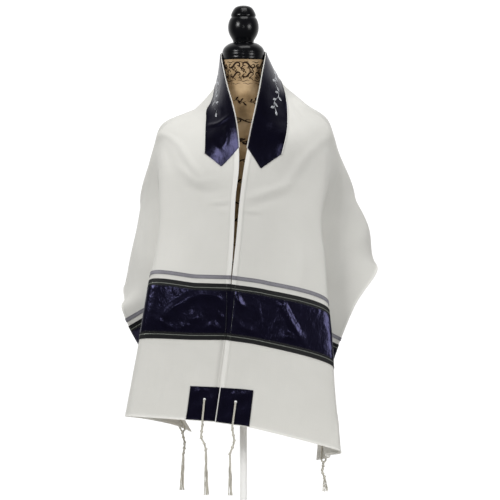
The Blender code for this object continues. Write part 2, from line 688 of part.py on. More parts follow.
def loop_path(place, normal, foot, knot):
    """Route the cord from the knot up the front, through the eyelet and down the back to the knot."""
    down = unit(foot - place)
    normal = unit(normal - down * float(np.dot(normal, down)))
    fall = float(np.linalg.norm(foot - place))
    front = TRIM_THICKNESS + 2 * SEAM_GAP + LOOP_RADIUS + LOOP_CLEARANCE
    back = CLOTH_THICKNESS + SEAM_GAP + LOOP_RADIUS + LOOP_CLEARANCE
    leg = ((1.0, fall + LOOP_OVERRUN), (1.0, fall / 2), (1.0, LOOP_SHOULDER), (LOOP_LEAN, LOOP_TURN))
    path = [place + normal * front * out + down * drop for out, drop in leg]
    path.append(place + down * LOOP_CREST)
    path.extend(place - normal * back * out + down * drop for out, drop in reversed(leg))
    return [knot + normal * LOOP_PART, *path, knot - normal * LOOP_PART]


def add_tassel(shop, corner, spot):
    """Make one tassel: a loop through the eyelet, a wound and knotted head, and loose strands."""
    place, normal, foot = spot
    knot = foot + np.array([0.0, 0.0, -corner.knot_drop])
    steps = len(corner.sway)
    spine = [knot + np.array([0.0, 0.0, HEAD_START])]
    radii = [WINDING_RADIUS * 0.8]
    for index, sway in enumerate(corner.sway):
        centre = knot + np.array([sway, 0.0, -corner.head_length * index / (steps - 1)])
        spine.append(centre)
        radii.append(KNOT_RADIUS)
        if index < steps - 1:
            drop = corner.head_length * (index + 1) / (steps - 1)
            ahead = knot + np.array([corner.sway[index + 1], 0.0, -drop])
            spine.extend(centre + (ahead - centre) * share for share in WINDING_SHARES)
            radii.extend([WINDING_RADIUS] * len(WINDING_SHARES))
    spine.append(spine[-1] + np.array([0.0, 0.0, -HEAD_FOOT]))
    radii.append(WINDING_RADIUS)
    head = shop.piece(f"tassel_{corner.name}", tube_mesh(f"tassel_{corner.name}", spine, radii, HEAD_SIDES),
                      finish(f"tassel_cord_{corner.name}", "E3E1DA", 0.9))
    path = loop_path(place, normal, foot, knot)
    loop = tube_mesh("loop", path, [LOOP_RADIUS] * len(path), CORD_SIDES)
    strands = [strand_mesh(spine[-1], corner, index) for index in range(STRANDS)]
    tool = shop.cutter(f"cords_{corner.name}", joined_mesh(f"cords_{corner.name}", [loop, *strands]))
    shop.combine(head, tool, "UNION")


def strand_mesh(root, corner, index):
    """Make one loose strand, from inside the head's foot to its tip."""
    angle = 2.0 * math.pi * index / (STRANDS - 1)
    ring = 0.0 if index == STRANDS - 1 else 1.0
    way = np.array([math.cos(angle), math.sin(angle), 0.0]) * ring
    drop = root[2] - TASSEL_END
    points = [root + way * STRAND_ROOT + np.array([0.0, 0.0, HEAD_FOOT / 2])]
    for share in STRAND_SHARES:
        opened = min(share / STRAND_SHARES[1], 1.0)
        reach = STRAND_ROOT + (STRAND_RING - STRAND_ROOT) * opened + (corner.spread - STRAND_RING) * share
        ripple = STRAND_RIPPLE * math.sin(STRAND_TURNS * share + index)
        side = np.array([(corner.drift + ripple) * share, 0.0, -drop * share])
        points.append(root + way * reach + side)
    return tube_mesh("strand", points, [STRAND_RADIUS] * len(points), CORD_SIDES)


def add_form(shop):
    """Make the dress form's padded body, as a loft through its level sections."""
    angles = [2.0 * math.pi * step / FORM_SIDES for step in range(FORM_SIDES)]
    places = []
    for girth in FORM_GIRTHS:
        for angle in angles:
            depth = girth.back if math.sin(angle) > 0 else girth.front
            places.append((girth.half_width * math.cos(angle), depth * math.sin(angle), girth.height))
    faces = []
    for level in range(len(FORM_GIRTHS) - 1):
        for step in range(FORM_SIDES):
            onward = (step + 1) % FORM_SIDES
            top, foot = level * FORM_SIDES, (level + 1) * FORM_SIDES
            faces.append((top + step, foot + step, foot + onward, top + onward))
    faces.append(tuple(range(FORM_SIDES)))
    faces.append(tuple(reversed(range(len(places) - FORM_SIDES, len(places)))))
    mesh = bpy.data.meshes.new("form_torso")
    mesh.from_pydata(places, [], faces)
    shop.piece("form_torso", mesh, finish("form_cover", "A58A66", 0.85))


def add_stand(shop):
    """Make the neck cap, the finial, the pole and the base."""
    black = finish("black_lacquer", "0B0B0C", 0.15)
    white = finish("white_enamel", "E9E9E6", 0.35)
    turn(shop.piece("form_neck_cap", turned_mesh("form_neck_cap", NECK_CAP_OUTLINE), black))
    turn(shop.piece("form_finial", turned_mesh("form_finial", FINIAL_OUTLINE), black))
    pole_foot = BASE_HEIGHT + JOINT_GAP
    pole_head = FORM_GIRTHS[-1].height - JOINT_GAP
    work = bmesh.new()
    bmesh.ops.create_cone(work, cap_ends=True, segments=POLE_SIDES, radius1=POLE_RADIUS,
                          radius2=POLE_RADIUS, depth=pole_head - pole_foot)
    pole = bpy.data.meshes.new("stand_pole")
    work.to_mesh(pole)
    work.free()
    shop.piece("stand_pole", pole, white).location = (0, 0, (pole_head + pole_foot) / 2)
    base = (TurnedPoint(BASE_RADIUS - BASE_EDGE, BASE_HEIGHT),
            TurnedPoint(BASE_RADIUS, BASE_HEIGHT - BASE_EDGE),
            TurnedPoint(BASE_RADIUS, BASE_EDGE), TurnedPoint(BASE_RADIUS - BASE_EDGE, 0.0))
    turn(shop.piece("stand_base", turned_mesh("stand_base", base), white))


def main():
    """Build every piece of the shawl and of the form that wears it."""
    shop = Workshop()
    lattice = Lattice()
    spots = eyelet_spots(lattice)
    cutters = add_eyelet_cutters(shop, spots)
    add_cloth(shop, lattice, cutters)
    add_ribbons(shop, lattice)
    add_neck_band(shop, lattice)
    add_patches(shop, lattice, cutters)
    for corner in CORNERS:
        add_tassel(shop, corner, spots[corner.name])
    add_form(shop)
    add_stand(shop)


if __name__ == "__main__":
    main()
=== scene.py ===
"""Looks of a striped prayer shawl with knotted corner tassels, worn by a dress form on a slim stand.

Metres, +Z up; the shawl's front faces -Y. Soft pieces are laid out on the shawl's flat cut: "run" is the
distance along the cloth from the centre of the back, "across" the distance from its neck edge.
"""
import logging
import math
from dataclasses import dataclass, field
from enum import Enum
from typing import NamedTuple, Sequence

import bpy
import numpy as np
from bpy.types import Material, Mesh, Node, NodeSocket, NodeTree, Object
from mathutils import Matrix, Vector


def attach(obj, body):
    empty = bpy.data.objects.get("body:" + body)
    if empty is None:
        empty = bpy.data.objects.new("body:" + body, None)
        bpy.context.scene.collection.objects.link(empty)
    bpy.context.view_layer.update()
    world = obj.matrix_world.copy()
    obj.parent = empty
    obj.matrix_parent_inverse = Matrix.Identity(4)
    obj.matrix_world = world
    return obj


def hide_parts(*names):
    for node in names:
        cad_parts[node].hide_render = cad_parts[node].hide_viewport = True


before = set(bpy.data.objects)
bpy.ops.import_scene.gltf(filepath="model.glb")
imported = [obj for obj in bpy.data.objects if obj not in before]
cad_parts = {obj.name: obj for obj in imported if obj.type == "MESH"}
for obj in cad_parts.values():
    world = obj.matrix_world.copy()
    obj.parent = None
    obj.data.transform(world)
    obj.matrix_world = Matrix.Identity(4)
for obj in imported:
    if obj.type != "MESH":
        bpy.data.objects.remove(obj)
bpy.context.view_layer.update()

LOG = logging.getLogger("prayer_shawl")

MM = 0.001

# The shawl's flat cut, in metres
CLOTH_WIDTH = 0.510
HALF_LENGTH = 1.018
HEM = 0.0115             # turned front edges
ROLLED_HEM = 0.0045      # the other edges
PATCH_SIDE = 0.085
LOWER_RIBBON_FOOT = 0.197
SATIN_FOOT = 0.213
SATIN_HEAD = 0.313
UPPER_RIBBON_HEAD = 0.329
GREY_FOOT = 0.340
GREY_HEAD = 0.350
BAND_HALF_LENGTH = 0.356
BAND_POINT = 0.044
EYELET_UP = 0.052
EYELET_RADIUS = 0.0032

# How the pieces lie on each other
CLOTH_THICKNESS = 0.0015
SEAM_GAP = 0.0004
TRIM_THICKNESS = 0.0009
TRIM_TOP = SEAM_GAP + TRIM_THICKNESS
HEM_RELIEF = 0.0005
HEM_SLOPE = 0.0009        # width of the step down from a hem
PIPING_RADIUS = 0.0009
TRIM_EDGE = 0.004         # width beside a trim's edge in which it lies flat
DEEPEST_TROUGH = -0.0002  # how far a trim's creases may sink towards the cloth
SEAM_IN = 0.0018          # a seam's distance inside the edge of a turned hem
ROLLED_SEAM_IN = 0.0012   # and past the step of a rolled one

# How the cloth falls
FLUTE_LENGTH = 0.157
FLUTE_START = 0.12
FOLD_ROUNDNESS = 0.45
SECTION_STEPS = 40

TASSEL_END = 0.068


class Side(Enum):
    """The shawl's two ends, as the viewer sees them."""
    LEFT = -1
    RIGHT = 1

    @property
    def word(self) -> str:
        """Give the side's name in small letters."""
        return self.name.lower()


class Guide(NamedTuple):
    """One section across the cloth: where its guide lines lie at one distance along it."""
    run: float       # from the centre of the back
    edge: tuple      # neck edge, then front edge
    front: tuple     # outer fold of the front panel
    valley: tuple    # hidden fold behind the front panel
    wing: tuple      # cloth that hangs over the arm's place
    free: tuple      # far edge
    collar: tuple = ()    # outer edge of the neck band, where the cloth isn't straight from edge to front

    def points(self) -> tuple:
        """Give the six guide points from the neck edge to the far edge."""
        edge, front = np.array(self.edge), np.array(self.front)
        straight = edge + (front - edge) * PATCH_SIDE / np.linalg.norm(front - edge)
        collar = self.collar or tuple(straight)
        return self.edge, collar, self.front, self.valley, self.wing, self.free


CENTRE = Guide(0.0, (0, 0.062, 1.132), (0, 0.094, 1.020), (0, 0.116, 0.900),
               (0, 0.131, 0.770), (0, 0.142, 0.640), (0, 0.084, 1.050))

RIGHT = (
    Guide(0.060, (0.044, 0.038, 1.133), (0.066, 0.086, 1.024), (0.062, 0.110, 0.900),
          (0.052, 0.135, 0.770), (0.045, 0.146, 0.640), (0.060, 0.072, 1.060)),
    Guide(0.100, (0.0545, 0.000, 1.130), (0.106, 0.062, 1.030), (0.118, 0.100, 0.905),
          (0.100, 0.131, 0.770), (0.077, 0.146, 0.660), (0.0815, 0.052, 1.074)),
    Guide(0.154, (0.0475, -0.046, 1.085), (0.138, 0.016, 1.0195), (0.186, 0.062, 0.930),
          (0.172, 0.112, 0.785), (0.118, 0.142, 0.678), (0.0960, -0.0045, 1.035)),
    Guide(0.200, (0.040, -0.070, 1.042), (0.154, -0.018, 1.000), (0.2045, 0.010, 0.969),
          (0.232, 0.066, 0.806), (0.160, 0.132, 0.692), (0.0960, -0.0310, 1.004)),
    Guide(0.246, (0.031, -0.088, 0.998), (0.203, -0.020, 0.960), (0.226, 0.010, 0.912),
          (0.260, 0.045, 0.806), (0.198, 0.118, 0.686), (0.0985, -0.060, 0.968)),
    Guide(0.312, (0.018, -0.112, 0.938), (0.203, -0.036, 0.898), (0.230, -0.004, 0.852),
          (0.272, 0.030, 0.775), (0.246, 0.088, 0.636), (0.1005, -0.098, 0.921)),
    Guide(0.410, (0.001, -0.131, 0.845), (0.197, -0.060, 0.800), (0.196, -0.022, 0.750),
          (0.3005, 0.015, 0.697), (0.315, 0.043, 0.625), (0.083, -0.110, 0.829)),
    Guide(0.470, (-0.007, -0.134, 0.785), (0.1885, -0.074, 0.735), (0.168, -0.045, 0.695),
          (0.262, -0.012, 0.652), (0.3255, 0.008, 0.605), (0.076, -0.112, 0.771)),
    Guide(0.579, (-0.017, -0.1375, 0.677), (0.198, -0.086, 0.621), (0.128, -0.082, 0.590),
          (0.205, -0.046, 0.558), (0.272, -0.030, 0.522), (0.0625, -0.118, 0.664)),
    Guide(0.665, (-0.026, -0.139, 0.595), (0.2035, -0.095, 0.532), (0.118, -0.092, 0.500),
          (0.186, -0.062, 0.470), (0.2376, -0.045, 0.444), (0.0568, -0.123, 0.582)),
    Guide(0.750, (-0.0335, -0.1395, 0.510), (0.212, -0.104, 0.444), (0.128, -0.092, 0.412),
          (0.182, -0.062, 0.392), (0.213, -0.030, 0.376), (0.047, -0.127, 0.497)),
    Guide(0.821, (-0.0415, -0.139, 0.438), (0.2165, -0.110, 0.370), (0.147, -0.086, 0.345),
          (0.186, -0.050, 0.328), (0.196, 0.000, 0.312), (0.040, -0.130, 0.425)),
    Guide(0.932, (-0.0555, -0.1385, 0.328), (0.225, -0.116, 0.257), (0.180, -0.060, 0.243),
          (0.206, -0.020, 0.234), (0.186, 0.052, 0.222), (0.0280, -0.132, 0.320)),
    Guide(1.018, (-0.068, -0.138, 0.241), (0.234, -0.120, 0.170), (0.198, -0.062, 0.158),
          (0.209, -0.022, 0.151), (0.179, 0.055, 0.140), (0.0160, -0.133, 0.2285)),
)

LEFT = (
    Guide(0.060, (-0.044, 0.038, 1.131), (-0.062, 0.082, 1.020), (-0.062, 0.112, 0.900),
          (-0.050, 0.138, 0.770), (-0.040, 0.150, 0.638), (-0.055, 0.068, 1.052)),
    Guide(0.100, (-0.0545, 0.000, 1.127), (-0.095, 0.068, 1.010), (-0.112, 0.102, 0.900),
          (-0.094, 0.137, 0.770), (-0.065, 0.155, 0.660), (-0.066, 0.046, 1.057)),
    Guide(0.154, (-0.0475, -0.046, 1.082), (-0.120, 0.026, 0.993), (-0.168, 0.070, 0.912),
          (-0.152, 0.120, 0.780), (-0.100, 0.160, 0.674), (-0.0725, 0.004, 1.022)),
    Guide(0.200, (-0.038, -0.070, 1.042), (-0.142, -0.002, 0.984), (-0.200, 0.014, 0.955),
          (-0.222, 0.074, 0.804), (-0.142, 0.156, 0.694), (-0.0775, -0.0255, 0.995)),
    Guide(0.246, (-0.026, -0.088, 1.000), (-0.195, -0.016, 0.951), (-0.217, 0.012, 0.902),
          (-0.240, 0.062, 0.796), (-0.186, 0.144, 0.690), (-0.0825, -0.0480, 0.964)),
    Guide(0.312, (-0.0145, -0.112, 0.940), (-0.1965, -0.032, 0.915), (-0.222, -0.002, 0.862),
          (-0.248, 0.048, 0.772), (-0.222, 0.130, 0.658), (-0.0885, -0.0830, 0.917)),
    Guide(0.410, (-0.011, -0.131, 0.845), (-0.200, -0.058, 0.840), (-0.200, -0.020, 0.790),
          (-0.257, 0.030, 0.717), (-0.262, 0.098, 0.588), (-0.094, -0.108, 0.841)),
    Guide(0.470, (-0.018, -0.134, 0.785), (-0.2015, -0.070, 0.780), (-0.184, -0.040, 0.735),
          (-0.263, 0.008, 0.668), (-0.288, 0.069, 0.568)),
    Guide(0.579, (-0.0233, -0.135, 0.677), (-0.206, -0.084, 0.677), (-0.145, -0.084, 0.655),
          (-0.238, -0.040, 0.600), (-0.2895, 0.012, 0.531)),
    Guide(0.645, (-0.027, -0.1345, 0.613), (-0.2175, -0.092, 0.617), (-0.124, -0.090, 0.597),
          (-0.218, -0.056, 0.547), (-0.293, -0.028, 0.508)),
    Guide(0.665, (-0.0286, -0.134, 0.595), (-0.2215, -0.095, 0.600), (-0.120, -0.092, 0.580),
          (-0.210, -0.058, 0.533), (-0.2865, -0.028, 0.490)),
    Guide(0.750, (-0.030, -0.132, 0.510), (-0.237, -0.104, 0.513), (-0.132, -0.090, 0.492),
          (-0.202, -0.048, 0.452), (-0.250, 0.005, 0.418)),
    Guide(0.821, (-0.036, -0.130, 0.438), (-0.2495, -0.108, 0.438), (-0.182, -0.070, 0.422),
          (-0.228, -0.012, 0.392), (-0.214, 0.052, 0.358)),
    Guide(0.932, (-0.051, -0.1285, 0.328), (-0.2675, -0.112, 0.336), (-0.218, -0.048, 0.322),
          (-0.204, 0.022, 0.302), (-0.168, 0.092, 0.276)),
    Guide(1.018, (-0.055, -0.128, 0.241), (-0.281, -0.115, 0.255), (-0.238, -0.030, 0.245),
          (-0.169, 0.034, 0.227), (-0.128, 0.105, 0.207)),
)


class Flutes(NamedTuple):
    """Soft waves of the back on one side of its centre."""
    depth: float
    fade_from: float
    fade_to: float


FLUTES = {Side.LEFT: Flutes(0.026, 0.20, 0.36), Side.RIGHT: Flutes(0.022, 0.18, 0.34)}


class Crease(NamedTuple):
    """One soft ridge or trough, drawn on the flat cut, in millimetres."""
    path: tuple      # (run, across) of two to five points
    height: float    # a trough is negative
    width: float     # to each side


CLOTH_CREASES = (
    # The left front, from the shoulder's point down towards the opening
    Crease(((-262, 215), (-321, 160), (-373, 130), (-425, 92)), 2.6, 11),
    Crease(((-285, 225), (-350, 190), (-420, 160)), -1.6, 13),
    Crease(((-400, 150), (-437, 102), (-430, 58)), 1.8, 9),
    Crease(((-450, 130), (-462, 70), (-455, 30)), -1.3, 8),
    Crease(((-489, 70), (-487, 38), (-484, 12)), 1.7, 4),
    Crease(((-497, 60), (-496, 30), (-494, 14)), -1.2, 3.5),
    Crease(((-512, 40), (-508, 14)), 1.0, 4),
    Crease(((-540, 205), (-600, 198), (-655, 206)), 1.4, 10),
    Crease(((-560, 120), (-620, 132)), -0.9, 16),
    Crease(((-840, 100), (-870, 80), (-915, 70)), -1.5, 15),
    Crease(((-870, 180), (-930, 165), (-990, 172)), 1.3, 14),
    Crease(((-900, 120), (-935, 95)), 1.0, 9),
    # The right front
    Crease(((182, 100), (205, 106), (222, 118)), -2.2, 5),
    Crease(((176, 112), (196, 124), (214, 142)), 1.9, 6),
    Crease(((196, 94), (232, 108), (268, 138)), 1.6, 7),
    Crease(((262, 210), (318, 170), (372, 140), (428, 120)), 2.0, 13),
    Crease(((475, 24), (452, 74), (424, 128)), 2.2, 10),
    Crease(((492, 30), (474, 80), (452, 130)), -1.5, 9),
    Crease(((506, 14), (505, 34), (502, 62)), 1.6, 4),
    Crease(((515, 14), (516, 36), (512, 58)), -1.1, 3.5),
    Crease(((560, 170), (620, 176), (676, 168)), 1.3, 12),
    Crease(((600, 60), (650, 70)), -0.8, 14),
    Crease(((850, 140), (905, 158), (960, 170)), 1.4, 13),
    Crease(((860, 60), (920, 72)), -1.1, 16),
    Crease(((930, 210), (985, 196)), 1.2, 10),
    # Short pleats inside the right rear corner
    Crease(((930, 305), (1016, 300)), 2.4, 4),
    Crease(((920, 322), (1016, 318)), -2.0, 4),
    Crease(((940, 340), (1016, 336)), 2.6, 4.5),
    Crease(((925, 358), (1016, 356)), -2.0, 4.5),
    Crease(((950, 378), (1016, 378)), 2.0, 5),
    # The wings, from the shoulders' points down to the free edge
    Crease(((-250, 235), (-330, 290), (-430, 345)), 2.4, 12),
    Crease(((-300, 270), (-400, 325), (-520, 370)), -2.2, 13),
    Crease(((-380, 300), (-500, 350), (-610, 395)), 2.0, 11),
    Crease(((-640, 380), (-720, 400), (-800, 390)), 1.9, 13),
    Crease(((-720, 440), (-810, 455), (-900, 450)), -1.8, 14),
    Crease(((246, 240), (330, 300), (430, 352)), 2.4, 13),
    Crease(((300, 260), (400, 310), (490, 345)), -2.0, 12),
    Crease(((380, 330), (470, 380), (560, 430)), 2.2, 12),
    Crease(((620, 390), (700, 410), (780, 400)), -1.7, 12),
    Crease(((700, 350), (790, 360), (870, 345)), 1.8, 12),
    # The back, hanging from the neck
    Crease(((-12, 100), (-18, 190), (-30, 290)), 2.6, 11),
    Crease(((30, 96), (44, 180), (60, 260)), -2.2, 10),
    Crease(((66, 100), (100, 190), (120, 300)), 2.4, 12),
    Crease(((-70, 98), (-105, 180), (-130, 290)), -2.4, 12),
    Crease(((-112, 102), (-160, 170), (-205, 230)), 2.0, 10),
    Crease(((120, 100), (158, 160), (200, 214)), 2.0, 9),
    Crease(((-150, 300), (-170, 390), (-180, 490)), 2.2, 14),
    Crease(((160, 290), (190, 380), (205, 480)), 2.0, 14),
    Crease(((10, 330), (6, 420), (12, 500)), -1.8, 12),
)

SATIN_CREASES = (
    # The left band's arch and the spots under it
    Crease(((-786, 183), (-764, 155), (-748, 136), (-736, 115), (-722, 90)), 3.4, 11),
    Crease(((-722, 94), (-716, 66), (-720, 34), (-734, 18)), 2.8, 8),
    Crease(((-752, 165), (-735, 140), (-722, 118)), -1.6, 8),
    Crease(((-782, 104), (-772, 92), (-768, 80)), 3.0, 9),
    Crease(((-796, 128), (-788, 112), (-792, 96)), 1.4, 5),
    Crease(((-796, 62), (-786, 46), (-794, 30)), 2.6, 7),
    Crease(((-760, 30), (-770, 18)), 1.6, 5),
    Crease(((-775, 195), (-790, 165), (-798, 140)), 1.6, 7),
    # The right band's corner spot and diagonal
    Crease(((714, 18), (726, 22), (738, 34)), 3.0, 7),
    Crease(((712, 130), (730, 146), (750, 162), (772, 182), (788, 200)), 3.6, 10),
    Crease(((714, 152), (742, 180), (764, 206)), -1.6, 7),
    Crease(((770, 20), (786, 40), (792, 75)), 1.5, 7),
    Crease(((790, 150), (786, 166), (792, 184)), 2.6, 7),
    Crease(((720, 60), (750, 80), (780, 90)), 1.0, 10),
    # The parts at the wings and behind
    Crease(((-715, 300), (-745, 330), (-790, 345)), 2.0, 8),
    Crease(((-720, 400), (-760, 430), (-795, 470)), 2.2, 8),
    Crease(((712, 300), (750, 325), (795, 335)), 2.0, 8),
    Crease(((725, 420), (765, 440), (795, 475)), 2.2, 8),
)

BAND_CREASES = (
    Crease(((-262, 76), (-272, 50), (-268, 16)), 2.6, 6),
    Crease(((-278, 70), (-284, 45), (-281, 20)), -1.8, 6),
    Crease(((-290, 30), (-320, 26), (-345, 34)), 1.7, 6),
    Crease(((-300, 72), (-330, 60), (-360, 46)), 1.3, 8),
    Crease(((-200, 60), (-230, 40), (-250, 36)), 1.5, 7),
    Crease(((-60, 20), (-80, 60)), 1.6, 9),
    Crease(((50, 18), (72, 62)), 1.6, 9),
    Crease(((230, 75), (262, 55), (300, 50)), 0.8, 9),
    Crease(((310, 20), (340, 36)), 0.7, 8),
)


def smooth_step(value: np.ndarray) -> np.ndarray:
    """Ease from 0 to 1 as value goes from 0 to 1."""
    held = np.clip(value, 0.0, 1.0)
    return held * held * (3.0 - 2.0 * held)


def unit(vectors: np.ndarray) -> np.ndarray:
    """Scale vectors to length one along their last axis."""
    return vectors / np.maximum(np.linalg.norm(vectors, axis=-1, keepdims=True), 1e-12)


def between(t: np.ndarray, near: np.ndarray, far: np.ndarray, lead: np.ndarray,
            trail: np.ndarray) -> np.ndarray:
    """Pass smoothly from one value to the next.

    Args:
        t: How far along, from 0 to 1.
        near: The value at the start.
        far: The value at the end.
        lead: The slope at the start, over the whole way.
        trail: The slope at the end, over the whole way.

    Returns:
        The values at t.
    """
    return ((2 * t**3 - 3 * t**2 + 1) * near + (t**3 - 2 * t**2 + t) * lead
            + (-2 * t**3 + 3 * t**2) * far + (t**3 - t**2) * trail)


def lengths_along(path: np.ndarray) -> np.ndarray:
    """Give the distance along a path at each of its points."""
    return np.concatenate([[0.0], np.cumsum(np.linalg.norm(np.diff(path, axis=0), axis=1))])


def read_path(path: np.ndarray, along: np.ndarray, wanted: np.ndarray) -> np.ndarray:
    """Read a path at wanted distances along it."""
    return np.stack([np.interp(wanted, along, column) for column in path.T], axis=1)


def spaced(marks: Sequence[float], step: float) -> np.ndarray:
    """Fill the stretches between marks evenly.

    Args:
        marks: Rising values that must be in the result.
        step: The widest spacing allowed.

    Returns:
        The marks with the values between them.
    """
    values = [marks[0]]
    for start, end in zip(marks[:-1], marks[1:]):
        count = max(1, math.ceil((end - start) / step - 1e-6))
        values.extend(start + (end - start) * (index + 1) / count for index in range(count))
    return np.array(values)


def side_runs(low: float, high: float, step: float, side: Side) -> np.ndarray:
    """Fill a stretch of one side's runs evenly, from low to high as the viewer goes right."""
    runs = spaced([low, high], step)
    return runs if side is Side.RIGHT else -runs[::-1]


def curve_through(points: Sequence[Sequence[float]], count: int) -> np.ndarray:
    """Draw a smooth curve through points.

    Args:
        points: The points to pass, in any number of dimensions.
        count: How many places to read, evenly by length.

    Returns:
        The places along the curve.
    """
    given = np.array(points, dtype=float)
    slopes = np.gradient(given, axis=0) if len(given) > 2 else np.repeat(given[1:] - given[:1], 2, axis=0)
    t = np.linspace(0.0, 1.0, 12, endpoint=False)[:, None]
    parts = [between(t, near, far, lead, trail)
             for near, far, lead, trail in zip(given[:-1], given[1:], slopes[:-1], slopes[1:])]
    dense = np.concatenate([*parts, given[-1:]])
    along = lengths_along(dense)
    return read_path(dense, along, np.linspace(0.0, along[-1], count))


def crease_lift(run: np.ndarray, across: np.ndarray, creases: Sequence[Crease]) -> np.ndarray:
    """Add up how far creases raise a surface.

    Args:
        run: Distances along the cloth, of any shape.
        across: Distances across it, of the same shape.
        creases: The ridges and troughs.

    Returns:
        The rise in metres at each place.
    """
    lift = np.zeros(run.shape)
    flat_run, flat_across, flat_lift = run.ravel(), across.ravel(), lift.ravel()
    for crease in creases:
        path = curve_through(np.array(crease.path) * MM, 20)
        width = crease.width * MM
        low, high = path.min(axis=0) - 3 * width, path.max(axis=0) + 3 * width
        near = np.nonzero((flat_run > low[0]) & (flat_run < high[0])
                          & (flat_across > low[1]) & (flat_across < high[1]))[0]
        if not len(near):
            continue
        place = np.stack([flat_run[near], flat_across[near]], axis=1)
        starts, ways = path[:-1], np.diff(path, axis=0)
        toward = place[:, None] - starts[None]
        share = np.clip((toward * ways).sum(axis=2) / (ways * ways).sum(axis=1), 0.0, 1.0)
        gaps = np.linalg.norm(toward - share[..., None] * ways, axis=2)
        best = gaps.argmin(axis=1)
        rows = np.arange(len(near))
        along = (best + share[rows, best]) / len(ways)
        taper = np.sqrt(np.clip(np.sin(math.pi * (0.04 + 0.92 * along)), 0.0, 1.0))
        flat_lift[near] += crease.height * MM * taper * np.exp(-(gaps[rows, best] / width) ** 2)
    return flat_lift.reshape(run.shape)


